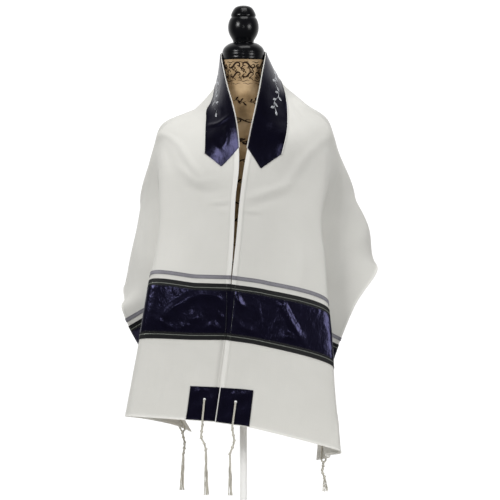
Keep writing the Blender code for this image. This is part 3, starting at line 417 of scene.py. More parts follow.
class ShawlSurface:
    """The draped cloth's outer face, looked up by distance along and across its flat cut."""

    STEP = 0.004

    def __init__(self) -> None:
        """Drape the flat cut over its sections, then raise its flutes and creases."""
        self.rows = round(2 * HALF_LENGTH / self.STEP) + 1
        self.columns = round(CLOTH_WIDTH / self.STEP) + 1
        self.runs = np.linspace(-HALF_LENGTH, HALF_LENGTH, self.rows)
        self.across = np.linspace(0.0, CLOTH_WIDTH, self.columns)
        self.run_step = self.runs[1] - self.runs[0]
        self.across_step = self.across[1] - self.across[0]
        self.rear_starts = np.zeros(self.rows)
        self.places = self._draped()
        run, across = np.meshgrid(self.runs, self.across, indexing="ij")
        self.places += self._facing() * self._flute_lift(run, across)[..., None]
        self.places += self._facing() * crease_lift(run, across, CLOTH_CREASES)[..., None]
        self.normals = self._facing()

    def _draped(self) -> np.ndarray:
        """Read every row's section curve at even distances across the cloth."""
        rows = [(-row.run, row.points()) for row in reversed(LEFT)]
        rows.append((CENTRE.run, CENTRE.points()))
        rows.extend((row.run, row.points()) for row in RIGHT)
        guide_runs = np.array([run for run, _ in rows])
        guides = np.array([points for _, points in rows], dtype=float)
        slopes = np.gradient(guides, guide_runs, axis=0)
        places = np.zeros((self.rows, self.columns, 3))
        for index, run in enumerate(self.runs):
            row = int(np.clip(np.searchsorted(guide_runs, run) - 1, 0, len(guide_runs) - 2))
            span = guide_runs[row + 1] - guide_runs[row]
            t = (run - guide_runs[row]) / span
            section = between(t, guides[row], guides[row + 1], span * slopes[row], span * slopes[row + 1])
            curve, along = self._section_curve(section)
            places[index] = read_path(curve, along, self.across * along[-1] / CLOTH_WIDTH)
            self.rear_starts[index] = along[4 * SECTION_STEPS] * CLOTH_WIDTH / along[-1]
        return places

    @staticmethod
    def _section_curve(guides: np.ndarray) -> tuple:
        """Draw a section as a rounded curve through its guide points.

        Args:
            guides: The section's guide points.

        Returns:
            The curve's points and the distance along it at each.
        """
        steps = np.diff(guides, axis=0)
        lengths = np.linalg.norm(steps, axis=1)
        ways = steps / lengths[:, None]
        tangents = [steps[0]]
        for index in range(1, len(guides) - 1):
            reach = FOLD_ROUNDNESS * 2.0 * min(lengths[index - 1], lengths[index])
            tangents.append(unit(ways[index - 1] + ways[index]) * reach)
        tangents.append(steps[-1])
        t = np.linspace(0.0, 1.0, SECTION_STEPS + 1)[:, None]
        curve = [guides[:1]]
        for near, far, lead, trail in zip(guides[:-1], guides[1:], tangents[:-1], tangents[1:]):
            curve.append(between(t, near, far, lead, trail)[1:])
        joined = np.concatenate(curve)
        return joined, lengths_along(joined)

    def _facing(self) -> np.ndarray:
        """Give the direction out of the cloth's outer face at every point."""
        return unit(np.cross(np.gradient(self.places, axis=0), np.gradient(self.places, axis=1)))

    @staticmethod
    def _flute_lift(run: np.ndarray, across: np.ndarray) -> np.ndarray:
        """Wave the far half of the back, deepest at the far edge.

        Args:
            run: Distances along the cloth.
            across: Distances across it.

        Returns:
            The rise in metres.
        """
        lift = np.zeros(run.shape)
        for side, flutes in FLUTES.items():
            fade = 1.0 - smooth_step((np.abs(run) - flutes.fade_from) / (flutes.fade_to - flutes.fade_from))
            wave = flutes.depth * fade * np.cos(2.0 * math.pi * run / FLUTE_LENGTH)
            lift += np.where((run < 0) == (side is Side.LEFT), wave, 0.0)
        return lift * smooth_step((across - FLUTE_START) / (CLOTH_WIDTH - FLUTE_START))

    def _read(self, grid: np.ndarray, run: np.ndarray, across: np.ndarray) -> np.ndarray:
        """Read a grid of vectors between its points, and a little past its edges.

        Args:
            grid: The vectors, rows by columns by three.
            run: Distances along the cloth.
            across: Distances across it.

        Returns:
            The vectors there.
        """
        u = (np.asarray(run, dtype=float) + HALF_LENGTH) / self.run_step
        v = np.asarray(across, dtype=float) / self.across_step
        u, v = np.broadcast_arrays(u, v)
        i = np.clip(np.floor(u).astype(int), 0, self.rows - 2)
        j = np.clip(np.floor(v).astype(int), 0, self.columns - 2)
        fu, fv = (u - i)[..., None], (v - j)[..., None]
        return (grid[i, j] * (1 - fu) * (1 - fv) + grid[i + 1, j] * fu * (1 - fv)
                + grid[i, j + 1] * (1 - fu) * fv + grid[i + 1, j + 1] * fu * fv)

    def normal(self, run: np.ndarray, across: np.ndarray) -> np.ndarray:
        """Give the outward direction at places on the flat cut."""
        return unit(self._read(self.normals, run, across))

    def place(self, run: np.ndarray, across: np.ndarray, lift: np.ndarray | float = 0.0) -> np.ndarray:
        """Find where places on the flat cut hang.

        Args:
            run: Distances along the cloth.
            across: Distances across it.
            lift: Heights above the outer face.

        Returns:
            The points in the shared frame.
        """
        raised = np.broadcast_to(np.asarray(lift, dtype=float), np.broadcast(run, across).shape)
        return self._read(self.places, run, across) + self.normal(run, across) * raised[..., None]

    def rear_start(self, run: np.ndarray) -> np.ndarray:
        """Give how far across the rear corner patches begin."""
        return np.interp(run, self.runs, self.rear_starts)


def hem_relief(run: np.ndarray, across: np.ndarray) -> np.ndarray:
    """Give how far the turned hems raise the outer face.

    Args:
        run: Distances along the cloth.
        across: Distances across it.

    Returns:
        The rise in metres.
    """
    rolled = np.minimum(CLOTH_WIDTH - across, HALF_LENGTH - np.abs(run)) - ROLLED_HEM
    hemmed = 1.0 - smooth_step(np.minimum(across - HEM, rolled) / HEM_SLOPE)
    under_band = (np.abs(run) < BAND_HALF_LENGTH + 0.002) & (across < PATCH_SIDE)
    return np.where(under_band, 0.0, hemmed * HEM_RELIEF)


def wall_mesh(name: str, outer: np.ndarray, inner: np.ndarray, flat: np.ndarray,
              keep: np.ndarray | None = None) -> Mesh:
    """Make a closed wall between two matching grids of points.

    Args:
        name: The mesh's name.
        outer: The outer face's points, rows by columns by three.
        inner: The inner face's points.
        flat: Each point's place on the flat cut, rows by columns by two, kept as an attribute.
        keep: Which cells are cloth; the others are holes.

    Returns:
        The mesh, shaded smooth but for its rim.
    """
    rows, columns = outer.shape[:2]
    index = np.arange(rows * columns).reshape(rows, columns)
    far = rows * columns
    kept = np.ones((rows - 1, columns - 1), bool) if keep is None else keep
    corners = (index[:-1, :-1], index[1:, :-1], index[1:, 1:], index[:-1, 1:])
    cells = np.stack(corners, axis=-1)
    faces = [cells[kept], cells[kept][:, ::-1] + far]
    bordered = np.pad(kept, 1)
    neighbours = (bordered[1:-1, :-2], bordered[2:, 1:-1], bordered[1:-1, 2:], bordered[:-2, 1:-1])
    for turn, beyond in enumerate(neighbours):
        rim = kept & ~beyond
        start, end = corners[turn][rim], corners[(turn + 1) % 4][rim]
        faces.append(np.stack([end, start, start + far, end + far], axis=-1))
    quads = np.concatenate(faces)
    used, packed = np.unique(quads, return_inverse=True)
    points = np.concatenate([outer.reshape(-1, 3), inner.reshape(-1, 3)])[used]
    mesh = bpy.data.meshes.new(name)
    mesh.from_pydata(points.tolist(), [], packed.reshape(-1, 4).tolist())
    spots = np.tile(flat.reshape(-1, 2), (2, 1))[used]
    attribute = mesh.attributes.new("flat_place", "FLOAT_VECTOR", "POINT")
    attribute.data.foreach_set("vector", np.column_stack([spots, np.zeros(len(spots))]).ravel())
    mesh.shade_smooth()
    mesh.set_sharp_from_angle(angle=math.radians(55))
    return mesh


class Bundle:
    """Gathers points and faces of many small shapes into one mesh."""

    def __init__(self) -> None:
        """Start with nothing."""
        self.points: list = []
        self.faces: list = []
        self.count = 0

    def add(self, points: np.ndarray, faces: Sequence[Sequence[int]]) -> None:
        """Add one shape's points and faces."""
        self.points.append(points)
        self.faces.extend([[index + self.count for index in face] for face in faces])
        self.count += len(points)

    def add_rings(self, rings: np.ndarray) -> None:
        """Add a closed skin over rings of points.

        Args:
            rings: Rings of points from foot to head, each anticlockwise as seen from the head.
        """
        count, around = rings.shape[:2]
        faces = [[row * around + step, row * around + (step + 1) % around,
                  (row + 1) * around + (step + 1) % around, (row + 1) * around + step]
                 for row in range(count - 1) for step in range(around)]
        faces.append(list(reversed(range(around))))
        faces.append([(count - 1) * around + step for step in range(around)])
        self.add(rings.reshape(-1, 3), faces)

    def add_tube(self, path: np.ndarray, radius: np.ndarray | float, sides: int = 6) -> None:
        """Add a tube with closed ends.

        Args:
            path: The points of its middle line.
            radius: One radius, or one for each point.
            sides: How many faces go round it.
        """
        radii = np.broadcast_to(np.asarray(radius, dtype=float), len(path))
        ways = unit(np.gradient(path, axis=0))
        side = np.cross(ways[0], (0.0, 0.0, 1.0) if abs(ways[0][2]) < 0.9 else (1.0, 0.0, 0.0))
        angles = np.arange(sides) * 2.0 * math.pi / sides
        rings = []
        for point, way, size in zip(path, ways, radii):
            side = unit(side - way * np.dot(side, way))
            other = np.cross(way, side)
            rings.append(point + size * (np.cos(angles)[:, None] * side + np.sin(angles)[:, None] * other))
        self.add_rings(np.stack(rings))

    def add_grid(self, points: np.ndarray) -> None:
        """Add an open sheet.

        Args:
            points: Its points, rows by columns by three.
        """
        rows, columns = points.shape[:2]
        faces = [[i * columns + j, (i + 1) * columns + j, (i + 1) * columns + j + 1, i * columns + j + 1]
                 for i in range(rows - 1) for j in range(columns - 1)]
        self.add(points.reshape(-1, 3), faces)

    def mesh(self, name: str, sharp: float = 60.0) -> Mesh:
        """Make the mesh.

        Args:
            name: Its name.
            sharp: The angle in degrees above which an edge stays sharp.

        Returns:
            The mesh, shaded smooth.
        """
        made = bpy.data.meshes.new(name)
        made.from_pydata(np.concatenate(self.points).tolist(), [], self.faces)
        made.shade_smooth()
        made.set_sharp_from_angle(angle=math.radians(sharp))
        return made


def level_rings(outline: Sequence[Sequence[float]], around: int) -> np.ndarray:
    """Turn an outline about the upright axis.

    Args:
        outline: Its points of radius and height, from the foot up.
        around: How many points each ring gets.

    Returns:
        Level rings of points, by three.
    """
    angles = np.arange(around) * 2.0 * math.pi / around
    circle = np.stack([np.cos(angles), np.sin(angles)], axis=1)
    return np.stack([np.column_stack([radius * circle, np.full(around, height)])
                     for radius, height in outline])


def piece(name: str, mesh: Mesh, material: Material,
          replaces: Sequence[str] = ()) -> Object:
    """Put a piece in the scene, on the object's one body.

    Args:
        name: The piece's name.
        mesh: Its shape, in the shared frame.
        material: Its finish.
        replaces: The solids that it stands for.

    Returns:
        The piece.
    """
    made = bpy.data.objects.new(name, mesh)
    mesh.materials.append(material)
    bpy.context.scene.collection.objects.link(made)
    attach(made, "root")
    if replaces:
        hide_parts(*replaces)
    LOG.info("%s: %d faces", name, len(mesh.polygons))
    return made


def linear(hex_colour: str) -> tuple:
    """Turn an sRGB hex colour to linear red, green, blue and alpha."""
    channels = [int(hex_colour[start:start + 2], 16) / 255.0 for start in (0, 2, 4)]
    return (*(c / 12.92 if c <= 0.04045 else ((c + 0.055) / 1.055) ** 2.4 for c in channels), 1.0)


def add_node(tree: NodeTree, kind: str, inputs: dict | None = None, **settings: object) -> Node:
    """Add a node with its settings and links.

    Args:
        tree: The material's node tree.
        kind: The node's type.
        inputs: Values for its inputs by name or number; an output socket is linked.
        **settings: The node's own properties.

    Returns:
        The node.
    """
    node = tree.nodes.new(kind)
    for name, value in settings.items():
        setattr(node, name, value)
    for name, value in (inputs or {}).items():
        if isinstance(value, NodeSocket):
            tree.links.new(value, node.inputs[name])
        else:
            node.inputs[name].default_value = value
    return node


def set_ramp(node: Node, stops: Sequence[tuple]) -> Node:
    """Give a colour ramp its stops.

    Args:
        node: The ramp's node.
        stops: Each stop's place, from 0 to 1, and its colour.

    Returns:
        The same node.
    """
    elements = node.color_ramp.elements
    while len(elements) < len(stops):
        elements.new(0.5)
    for element, (place, colour) in zip(elements, stops):
        element.position = place
        element.color = colour
    return node


class Finish:
    """A material: a Principled surface whose colour and relief come from nodes."""

    def __init__(self, name: str, roughness: float, **constants: object) -> None:
        """Start a Principled surface.

        Args:
            name: The material's name.
            roughness: Its roughness.
            **constants: Other sockets' values, by their names with _ for a space.
        """
        self.material = bpy.data.materials.new(name)
        self.material.use_nodes = True
        self.tree = self.material.node_tree
        self.shader = self.tree.nodes["Principled BSDF"]
        self.shader.inputs["Roughness"].default_value = roughness
        for socket, value in constants.items():
            self.shader.inputs[socket.replace("_", " ")].default_value = value

    def node(self, kind: str, inputs: dict | None = None, **settings: object) -> Node:
        """Add a node to this finish."""
        return add_node(self.tree, kind, inputs, **settings)

    def flat_place(self) -> NodeSocket:
        """Read the place on the flat cut, in metres."""
        return self.node("ShaderNodeAttribute", attribute_name="flat_place").outputs["Vector"]

    def object_place(self) -> NodeSocket:
        """Read the place in the shared frame, in metres."""
        return self.node("ShaderNodeTexCoord").outputs["Object"]

    def noise(self, place: NodeSocket, size: float, detail: float = 2.0,
              stretch: tuple = (1.0, 1.0, 1.0)) -> NodeSocket:
        """Make a soft random pattern.

        Args:
            place: Where to read it.
            size: The size of its patches in metres.
            detail: How much finer pattern it holds.
            stretch: How much longer the patches are along each axis.

        Returns:
            The pattern's value, from 0 to 1.
        """
        scale = tuple(1.0 / (size * part) for part in stretch)
        spread = self.node("ShaderNodeVectorMath", {0: place, 1: scale}, operation="MULTIPLY")
        inputs = {"Vector": spread.outputs[0], "Scale": 1.0, "Detail": detail}
        return self.node("ShaderNodeTexNoise", inputs).outputs[0]

    def mixed(self, share: NodeSocket | float, first: object, second: object) -> NodeSocket:
        """Mix two colours.

        Args:
            share: The second colour's share, from 0 to 1.
            first: A colour or a socket.
            second: The other one.

        Returns:
            The mixed colour.
        """
        mix = self.node("ShaderNodeMix", data_type="RGBA")
        for socket, value in ((mix.inputs[0], share), (mix.inputs[6], first), (mix.inputs[7], second)):
            if isinstance(value, NodeSocket):
                self.tree.links.new(value, socket)
            else:
                socket.default_value = value
        return mix.outputs[2]

    def maths(self, operation: str, *values: object, clamp: bool = False) -> NodeSocket:
        """Work out one number from others."""
        inputs = dict(enumerate(values))
        return self.node("ShaderNodeMath", inputs, operation=operation, use_clamp=clamp).outputs[0]

    def threads(self, place: NodeSocket, spacing: float) -> NodeSocket:
        """Make a plain weave's relief: threads over and under each other.

        Args:
            place: The place on the flat cut.
            spacing: The distance between threads, in metres.

        Returns:
            The relief, from 0 to 1.
        """
        parts = self.node("ShaderNodeSeparateXYZ", {0: place})
        rate = math.pi / spacing
        waves = [self.maths("SINE", self.maths("MULTIPLY", parts.outputs[axis], rate)) for axis in (0, 1)]
        woven = self.maths("MULTIPLY", *waves)
        return self.maths("MULTIPLY_ADD", woven, 0.5, 0.5)

    def ribs(self, place: NodeSocket, axis: int, spacing: float) -> NodeSocket:
        """Make even ribs that cross one axis of the flat cut."""
        parts = self.node("ShaderNodeSeparateXYZ", {0: place})
        wave = self.maths("SINE", self.maths("MULTIPLY", parts.outputs[axis], 2.0 * math.pi / spacing))
        return self.maths("MULTIPLY_ADD", wave, 0.5, 0.5)

    def colour(self, value: NodeSocket) -> None:
        """Link the base colour."""
        self.tree.links.new(value, self.shader.inputs["Base Color"])

    def roughness(self, value: NodeSocket) -> None:
        """Link the roughness."""
        self.tree.links.new(value, self.shader.inputs["Roughness"])

    def relief(self, *layers: tuple) -> None:
        """Raise the surface by layers of height, each a pattern and its depth in millimetres."""
        normal = None
        for height, depth in layers:
            inputs = {"Height": height, "Distance": depth * MM, "Strength": 1.0}
            if normal is not None:
                inputs["Normal"] = normal
            normal = self.node("ShaderNodeBump", inputs).outputs[0]
        self.tree.links.new(normal, self.shader.inputs["Normal"])


@dataclass(frozen=True)
class WovenWhite:
    """Off-white wool and viscose, plain woven and pressed: matt, a faint nap and slightly uneven yarn."""
    body: str = "DEDDD8"
    shade: str = "D2D1CB"
    doubled: str = "E7E6E1"
    thread: float = 1.1 * MM     # drawn twice as coarse as the real 0.5 mm, so that it shows close to
    fade_start: float = 0.8 * MM     # the paler hem's fade, inside its seam
    fade_end: float = 0.4 * MM       # and outside it

    def make(self) -> Material:
        """Make the cloth's finish, lighter where a hem doubles it."""
        finish = Finish("woven_white_wool", 0.86, Sheen_Weight=0.18, Sheen_Roughness=0.45, IOR=1.46,
                        Specular_IOR_Level=0.28)
        place = finish.flat_place()
        parts = finish.node("ShaderNodeSeparateXYZ", {0: place})
        mottle = finish.noise(place, 0.060, 3.0)
        slubs_along = finish.noise(place, 0.0016, 1.0, (34.0, 1.0, 1.0))
        slubs_across = finish.noise(place, 0.0016, 1.0, (1.0, 34.0, 1.0))
        yarn = finish.maths("MULTIPLY_ADD", finish.maths("ADD", slubs_along, slubs_across), 0.35, 0.10)
        uneven = finish.maths("MULTIPLY_ADD", mottle, 0.55, finish.maths("MULTIPLY", yarn, 0.6), clamp=True)
        body = finish.mixed(uneven, linear(self.body), linear(self.shade))
        run_edge = finish.maths("SUBTRACT", HALF_LENGTH, finish.maths("ABSOLUTE", parts.outputs[0]))
        far_edge = finish.maths("SUBTRACT", CLOTH_WIDTH, parts.outputs[1])
        rolled = finish.maths("SUBTRACT", finish.maths("MINIMUM", far_edge, run_edge), ROLLED_HEM)
        inside = finish.maths("MINIMUM", finish.maths("SUBTRACT", parts.outputs[1], HEM), rolled)
        fade = {"Value": inside, "From Min": self.fade_start, "From Max": -self.fade_end}
        hemmed = finish.node("ShaderNodeMapRange", fade).outputs[0]
        finish.colour(finish.mixed(hemmed, body, linear(self.doubled)))
        finish.relief((finish.threads(place, self.thread), 0.09), (yarn, 0.10))
        return finish.material


@dataclass(frozen=True)
class NavySatin:
    """Polyester satin, woven with long floats: near-black navy, its soft highlights blue-violet, and a
    painted sheen in soft patches of a lighter navy.
    """
    name: str = "navy_satin"
    deep: str = "040308"
    # the lighter navy of the painted sheen
    lit: str = "0D0B1A"
    wrinkle: float = 1.0
    gloss: float = 0.40

    def make(self) -> Material:
        """Make a satin finish."""
        finish = Finish(self.name, 0.20, Anisotropic=0.35, IOR=1.5, Specular_IOR_Level=self.gloss,
                        Specular_Tint=linear("B2B0EE"), Sheen_Weight=0.02, Sheen_Roughness=0.3,
                        Sheen_Tint=linear("6E68B4"))
        place = finish.flat_place()
        mottle = finish.noise(place, 0.022, 3.0)
        # painted sheen: soft patches of the lighter navy mixed into the colour
        finish.colour(finish.mixed(mottle, linear(self.deep), linear(self.lit)))
        floats = finish.noise(place, 0.0007, 1.0, (1.0, 22.0, 1.0))
        finish.roughness(finish.maths("MULTIPLY_ADD", floats, 0.10, 0.16))
        crumple = finish.noise(place, 0.016, 2.0, (1.3, 1.0, 1.0))
        finish.relief((crumple, 1.3 * self.wrinkle), (floats, 0.05))
        return finish.material


@dataclass(frozen=True)
class Grosgrain:
    """Woven ribbon with fine crosswise ribs, in black polyester: low sheen on the crest of each rib, partly
    from its relief and partly painted in its colour, and a painted sheen in broad patches.
    """
    name: str
    deep: str
    # the lighter tone of the painted sheen
    lit: str
    rib: float = 1.3 * MM        # the real 0.6 mm ribs, drawn coarser so that they show close to

    def make(self) -> Material:
        """Make a ribbed ribbon's finish."""
        finish = Finish(self.name, 0.50, Anisotropic=0.3, IOR=1.5, Specular_IOR_Level=0.24)
        place = finish.flat_place()
        ribs = finish.ribs(place, 1, self.rib)
        patches = finish.noise(place, 0.026, 2.0, (1.0, 1.6, 1.0))
        # painted sheen: the colour turns lighter in broad patches and on the crest of each rib
        share = finish.maths("MULTIPLY_ADD", patches, 0.8, finish.maths("MULTIPLY", ribs, 0.25), clamp=True)
        finish.colour(finish.mixed(share, linear(self.deep), linear(self.lit)))
        finish.relief((ribs, 0.12))
        return finish.material


@dataclass(frozen=True)
class CottonCord:
    """Spun cord, undyed or bleached: matt and slightly hairy, with painted shade in fine random streaks,
    standing in for the shade between the plies.
    """
    name: str
    lit: str
    # the darker tone of the painted shade
    shade: str
    fibre: float = 0.8 * MM

    def make(self) -> Material:
        """Make a cord's finish."""
        finish = Finish(self.name, 0.88, Sheen_Weight=0.25, Sheen_Roughness=0.5, Specular_IOR_Level=0.25)
        place = finish.object_place()
        fluff_and_painted_shade = finish.noise(place, self.fibre, 2.0, (1.0, 1.0, 3.0))
        # painted shade: fine random streaks of the darker tone mixed into the colour
        finish.colour(finish.mixed(fluff_and_painted_shade, linear(self.shade), linear(self.lit)))
        finish.relief((fluff_and_painted_shade, 0.25))
        return finish.material


@dataclass(frozen=True)
class MetalThread:
    """Metallised film wound on a core thread: fine glitter, part metal and part grey; in its colour the
    glitter is painted, as fine specks of a painted highlight tone and a painted shade tone.
    """
    name: str
    # the tones of the painted glints, the light one and then the dark one
    lit: str
    shade: str

    def make(self) -> Material:
        """Make a metal thread's finish."""
        finish = Finish(self.name, 0.38, Metallic=0.55)
        place = finish.object_place()
        glint = finish.noise(place, 0.0012, 2.0)
        # painted glints: fine specks of the lighter and the darker tone mixed into the colour
        finish.colour(finish.mixed(glint, linear(self.shade), linear(self.lit)))
        finish.relief((glint, 0.10))
        return finish.material


@dataclass(frozen=True)
class AgedLinen:
    """Tan linen stretched over the form: coarse plain weave, blotched as if tea-stained."""
    light: str = "D0B58F"
    tan: str = "B79B74"
    stain: str = "8F7552"
    thread: float = 1.2 * MM

    def make(self) -> Material:
        """Make the form cover's finish."""
        finish = Finish("aged_linen", 0.82, Sheen_Weight=0.12, Specular_IOR_Level=0.3)
        place = finish.object_place()
        blotch = finish.noise(place, 0.035, 4.0)
        ramp = set_ramp(finish.node("ShaderNodeValToRGB", {0: blotch}),
                        ((0.30, linear(self.stain)), (0.50, linear(self.tan)), (0.72, linear(self.light))))
        flecks = finish.noise(place, 0.0022, 2.0, (3.0, 3.0, 1.0))
        flecked = finish.maths("MULTIPLY", flecks, 0.35)
        finish.colour(finish.mixed(flecked, ramp.outputs[0], linear(self.stain)))
        parts = finish.node("ShaderNodeSeparateXYZ", {0: place})
        waves = [finish.maths("SINE", finish.maths("MULTIPLY", parts.outputs[axis], math.pi / self.thread))
                 for axis in (0, 2)]
        finish.relief((finish.maths("MULTIPLY", *waves), 0.10))
        return finish.material


@dataclass(frozen=True)
class Ink:
    """Dark brown printing ink, soaked into linen: matt and a little uneven."""

    def make(self) -> Material:
        """Make the print's finish."""
        finish = Finish("brown_ink", 0.85, Specular_IOR_Level=0.2)
        worn = finish.noise(finish.object_place(), 0.004, 3.0)
        finish.colour(finish.mixed(worn, linear("1C1109"), linear("3C2A1A")))
        return finish.material


@dataclass(frozen=True)
class BlackLacquer:
    """Turned wood under black lacquer: a deep, even gloss."""

    def make(self) -> Material:
        """Make the lacquer's finish."""
        finish = Finish("black_lacquer", 0.20, IOR=1.46, Specular_IOR_Level=0.26)
        place = finish.object_place()
        cloudy = finish.noise(place, 0.030, 2.0, (2.0, 2.0, 1.0))
        finish.colour(finish.mixed(cloudy, linear("050506"), linear("0D0E12")))
        finish.roughness(finish.maths("MULTIPLY_ADD", cloudy, 0.08, 0.17))
        finish.relief((finish.noise(place, 0.0014, 1.0), 0.006))
        return finish.material


@dataclass(frozen=True)
class WhiteEnamel:
    """Powder-coated steel: white with a fine orange-peel skin."""

    def make(self) -> Material:
        """Make the enamel's finish."""
        finish = Finish("white_enamel", 0.36, IOR=1.5, Coat_Weight=0.2, Coat_Roughness=0.2)
        place = finish.object_place()
        finish.colour(finish.mixed(finish.noise(place, 0.05, 2.0), linear("F9F9F8"), linear("F2F2F0")))
        finish.relief((finish.noise(place, 0.0015, 2.0), 0.05))
        return finish.material


@dataclass(frozen=True)
class FloorPaint:
    """Matt pale paint on the studio's floor."""

    def make(self) -> Material:
        """Make the floor's finish."""
        finish = Finish("pale_floor_paint", 0.7)
        clouds = finish.noise(finish.object_place(), 0.2, 2.0)
        finish.colour(finish.mixed(clouds, linear("F0EFEC"), linear("E7E6E2")))
        return finish.material


@dataclass
class Stitching:
    """Rows of machine stitches, each a short length of thread lying in its own dent."""
    surface: ShawlSurface
    length: float = 0.0026
    pitch: float = 0.0038
    radius: float = 0.00028
    bundle: Bundle = field(default_factory=Bundle)

    SHAPE = np.array([(-0.5, 0.30), (-0.22, 1.0), (0.22, 1.0), (0.5, 0.30)])
    SIDES = 5

    def row(self, path: Sequence[Sequence[float]], lift: float) -> None:
        """Sew one row of stitches along straight lines on the flat cut.

        Args:
            path: The corners of the row, each (run, across).
            lift: The height of the cloth under it.
        """
        for start, end in zip(np.array(path[:-1]), np.array(path[1:])):
            way = end - start
            span = float(np.linalg.norm(way))
            count = max(1, int(span / self.pitch))
            centres = start + way * ((np.arange(count) + 0.5) / count)[:, None]
            half = way / span * self.length / 2
            self._stitches(centres, half, lift)

    def _stitches(self, centres: np.ndarray, half: np.ndarray, lift: float) -> None:
        """Add many like stitches.

        Args:
            centres: Each stitch's middle, as (run, across).
            half: Half a stitch, as (run, across).
            lift: The height of the cloth under them.
        """
        raised = lift + hem_relief(centres[:, 0], centres[:, 1])
        middle = self.surface.place(centres[:, 0], centres[:, 1], raised)
        tip = self.surface.place(centres[:, 0] + half[0], centres[:, 1] + half[1], raised)
        normal = self.surface.normal(centres[:, 0], centres[:, 1])
        way = tip - middle
        side = unit(np.cross(way, normal))
        angles = np.arange(self.SIDES) * 2.0 * math.pi / self.SIDES
        rings = []
        for along, size in self.SHAPE:
            centre = middle + 2.0 * along * way + normal * self.radius * (0.9 if size > 0.9 else 0.0)
            for angle in angles:
                out = side * math.cos(angle) + normal * math.sin(angle)
                rings.append(centre + self.radius * size * out)
        points = np.stack(rings, axis=1).reshape(-1, 3)
        per = len(self.SHAPE) * self.SIDES
        faces = []
        for stitch in range(len(centres)):
            first = stitch * per
            for ring in range(len(self.SHAPE) - 1):
                for step in range(self.SIDES):
                    near, far = first + ring * self.SIDES, first + (ring + 1) * self.SIDES
                    onward = (step + 1) % self.SIDES
                    faces.append([near + step, near + onward, far + onward, far + step])
        self.bundle.add(points, faces)

    def finish(self, name: str, material: Material) -> Object:
        """Make all the rows one piece."""
        return piece(name, self.bundle.mesh(name), material)


class Corner(NamedTuple):
    """One knotted tassel: its corner of the cloth, and how its wound head and its strands hang."""
    name: str
    side: Side
    rear: bool
    knot_drop: float      # from the cloth's foot to the first knot
    head_length: float    # from the first knot to the last
    sway: tuple           # sideways place of each knot
    spread: float         # how far the strands' tips stand from the middle
    drift: float          # how far the tips hang to the side


CORNERS = (
    Corner("front_left", Side.LEFT, False, 0.010, 0.058,
           (0.000, -0.002, -0.003, 0.004, 0.008), 0.0050, 0.001),
    Corner("front_right", Side.RIGHT, False, 0.010, 0.058,
           (0.000, 0.002, 0.004, 0.000, -0.006), 0.0040, 0.001),
    Corner("rear_left", Side.LEFT, True, 0.010, 0.052,
           (0.000, 0.002, 0.005, 0.004, 0.002), 0.0050, -0.004),
    Corner("rear_right", Side.RIGHT, True, 0.008, 0.036,
           (0.000, -0.001, -0.003, -0.002, 0.002), 0.0060, 0.002),
)


def eyelet_spot(surface: ShawlSurface, corner: Corner) -> tuple:
    """Give an eyelet's place on the flat cut.

    Args:
        surface: The draped cloth.
        corner: The eyelet's corner.

    Returns:
        Its run and across.
    """
    run = corner.side.value * (HALF_LENGTH - EYELET_UP)
    if corner.rear:
        return run, (float(surface.rear_start(run)) + CLOTH_WIDTH) / 2
    return run, PATCH_SIDE / 2


def punched(flat: np.ndarray, centre: tuple, radius: float) -> np.ndarray:
    """Open a round hole in a grid on the flat cut.

    Args:
        flat: The grid's places, which move to the hole's rim where they border it.
        centre: The hole's centre.
        radius: The hole's radius.

    Returns:
        Which cells stay.
    """
    middle = (flat[:-1, :-1] + flat[1:, 1:]) / 2 - centre
    keep = np.linalg.norm(middle, axis=2) > radius
    gone = np.pad(~keep, 1)
    kept = np.pad(keep, 1)
    touches_gone = gone[:-1, :-1] | gone[1:, :-1] | gone[:-1, 1:] | gone[1:, 1:]
    touches_kept = kept[:-1, :-1] | kept[1:, :-1] | kept[:-1, 1:] | kept[1:, 1:]
    rim = touches_gone & touches_kept
    offset = flat[rim] - centre
    flat[rim] = centre + unit(offset) * radius
    return keep


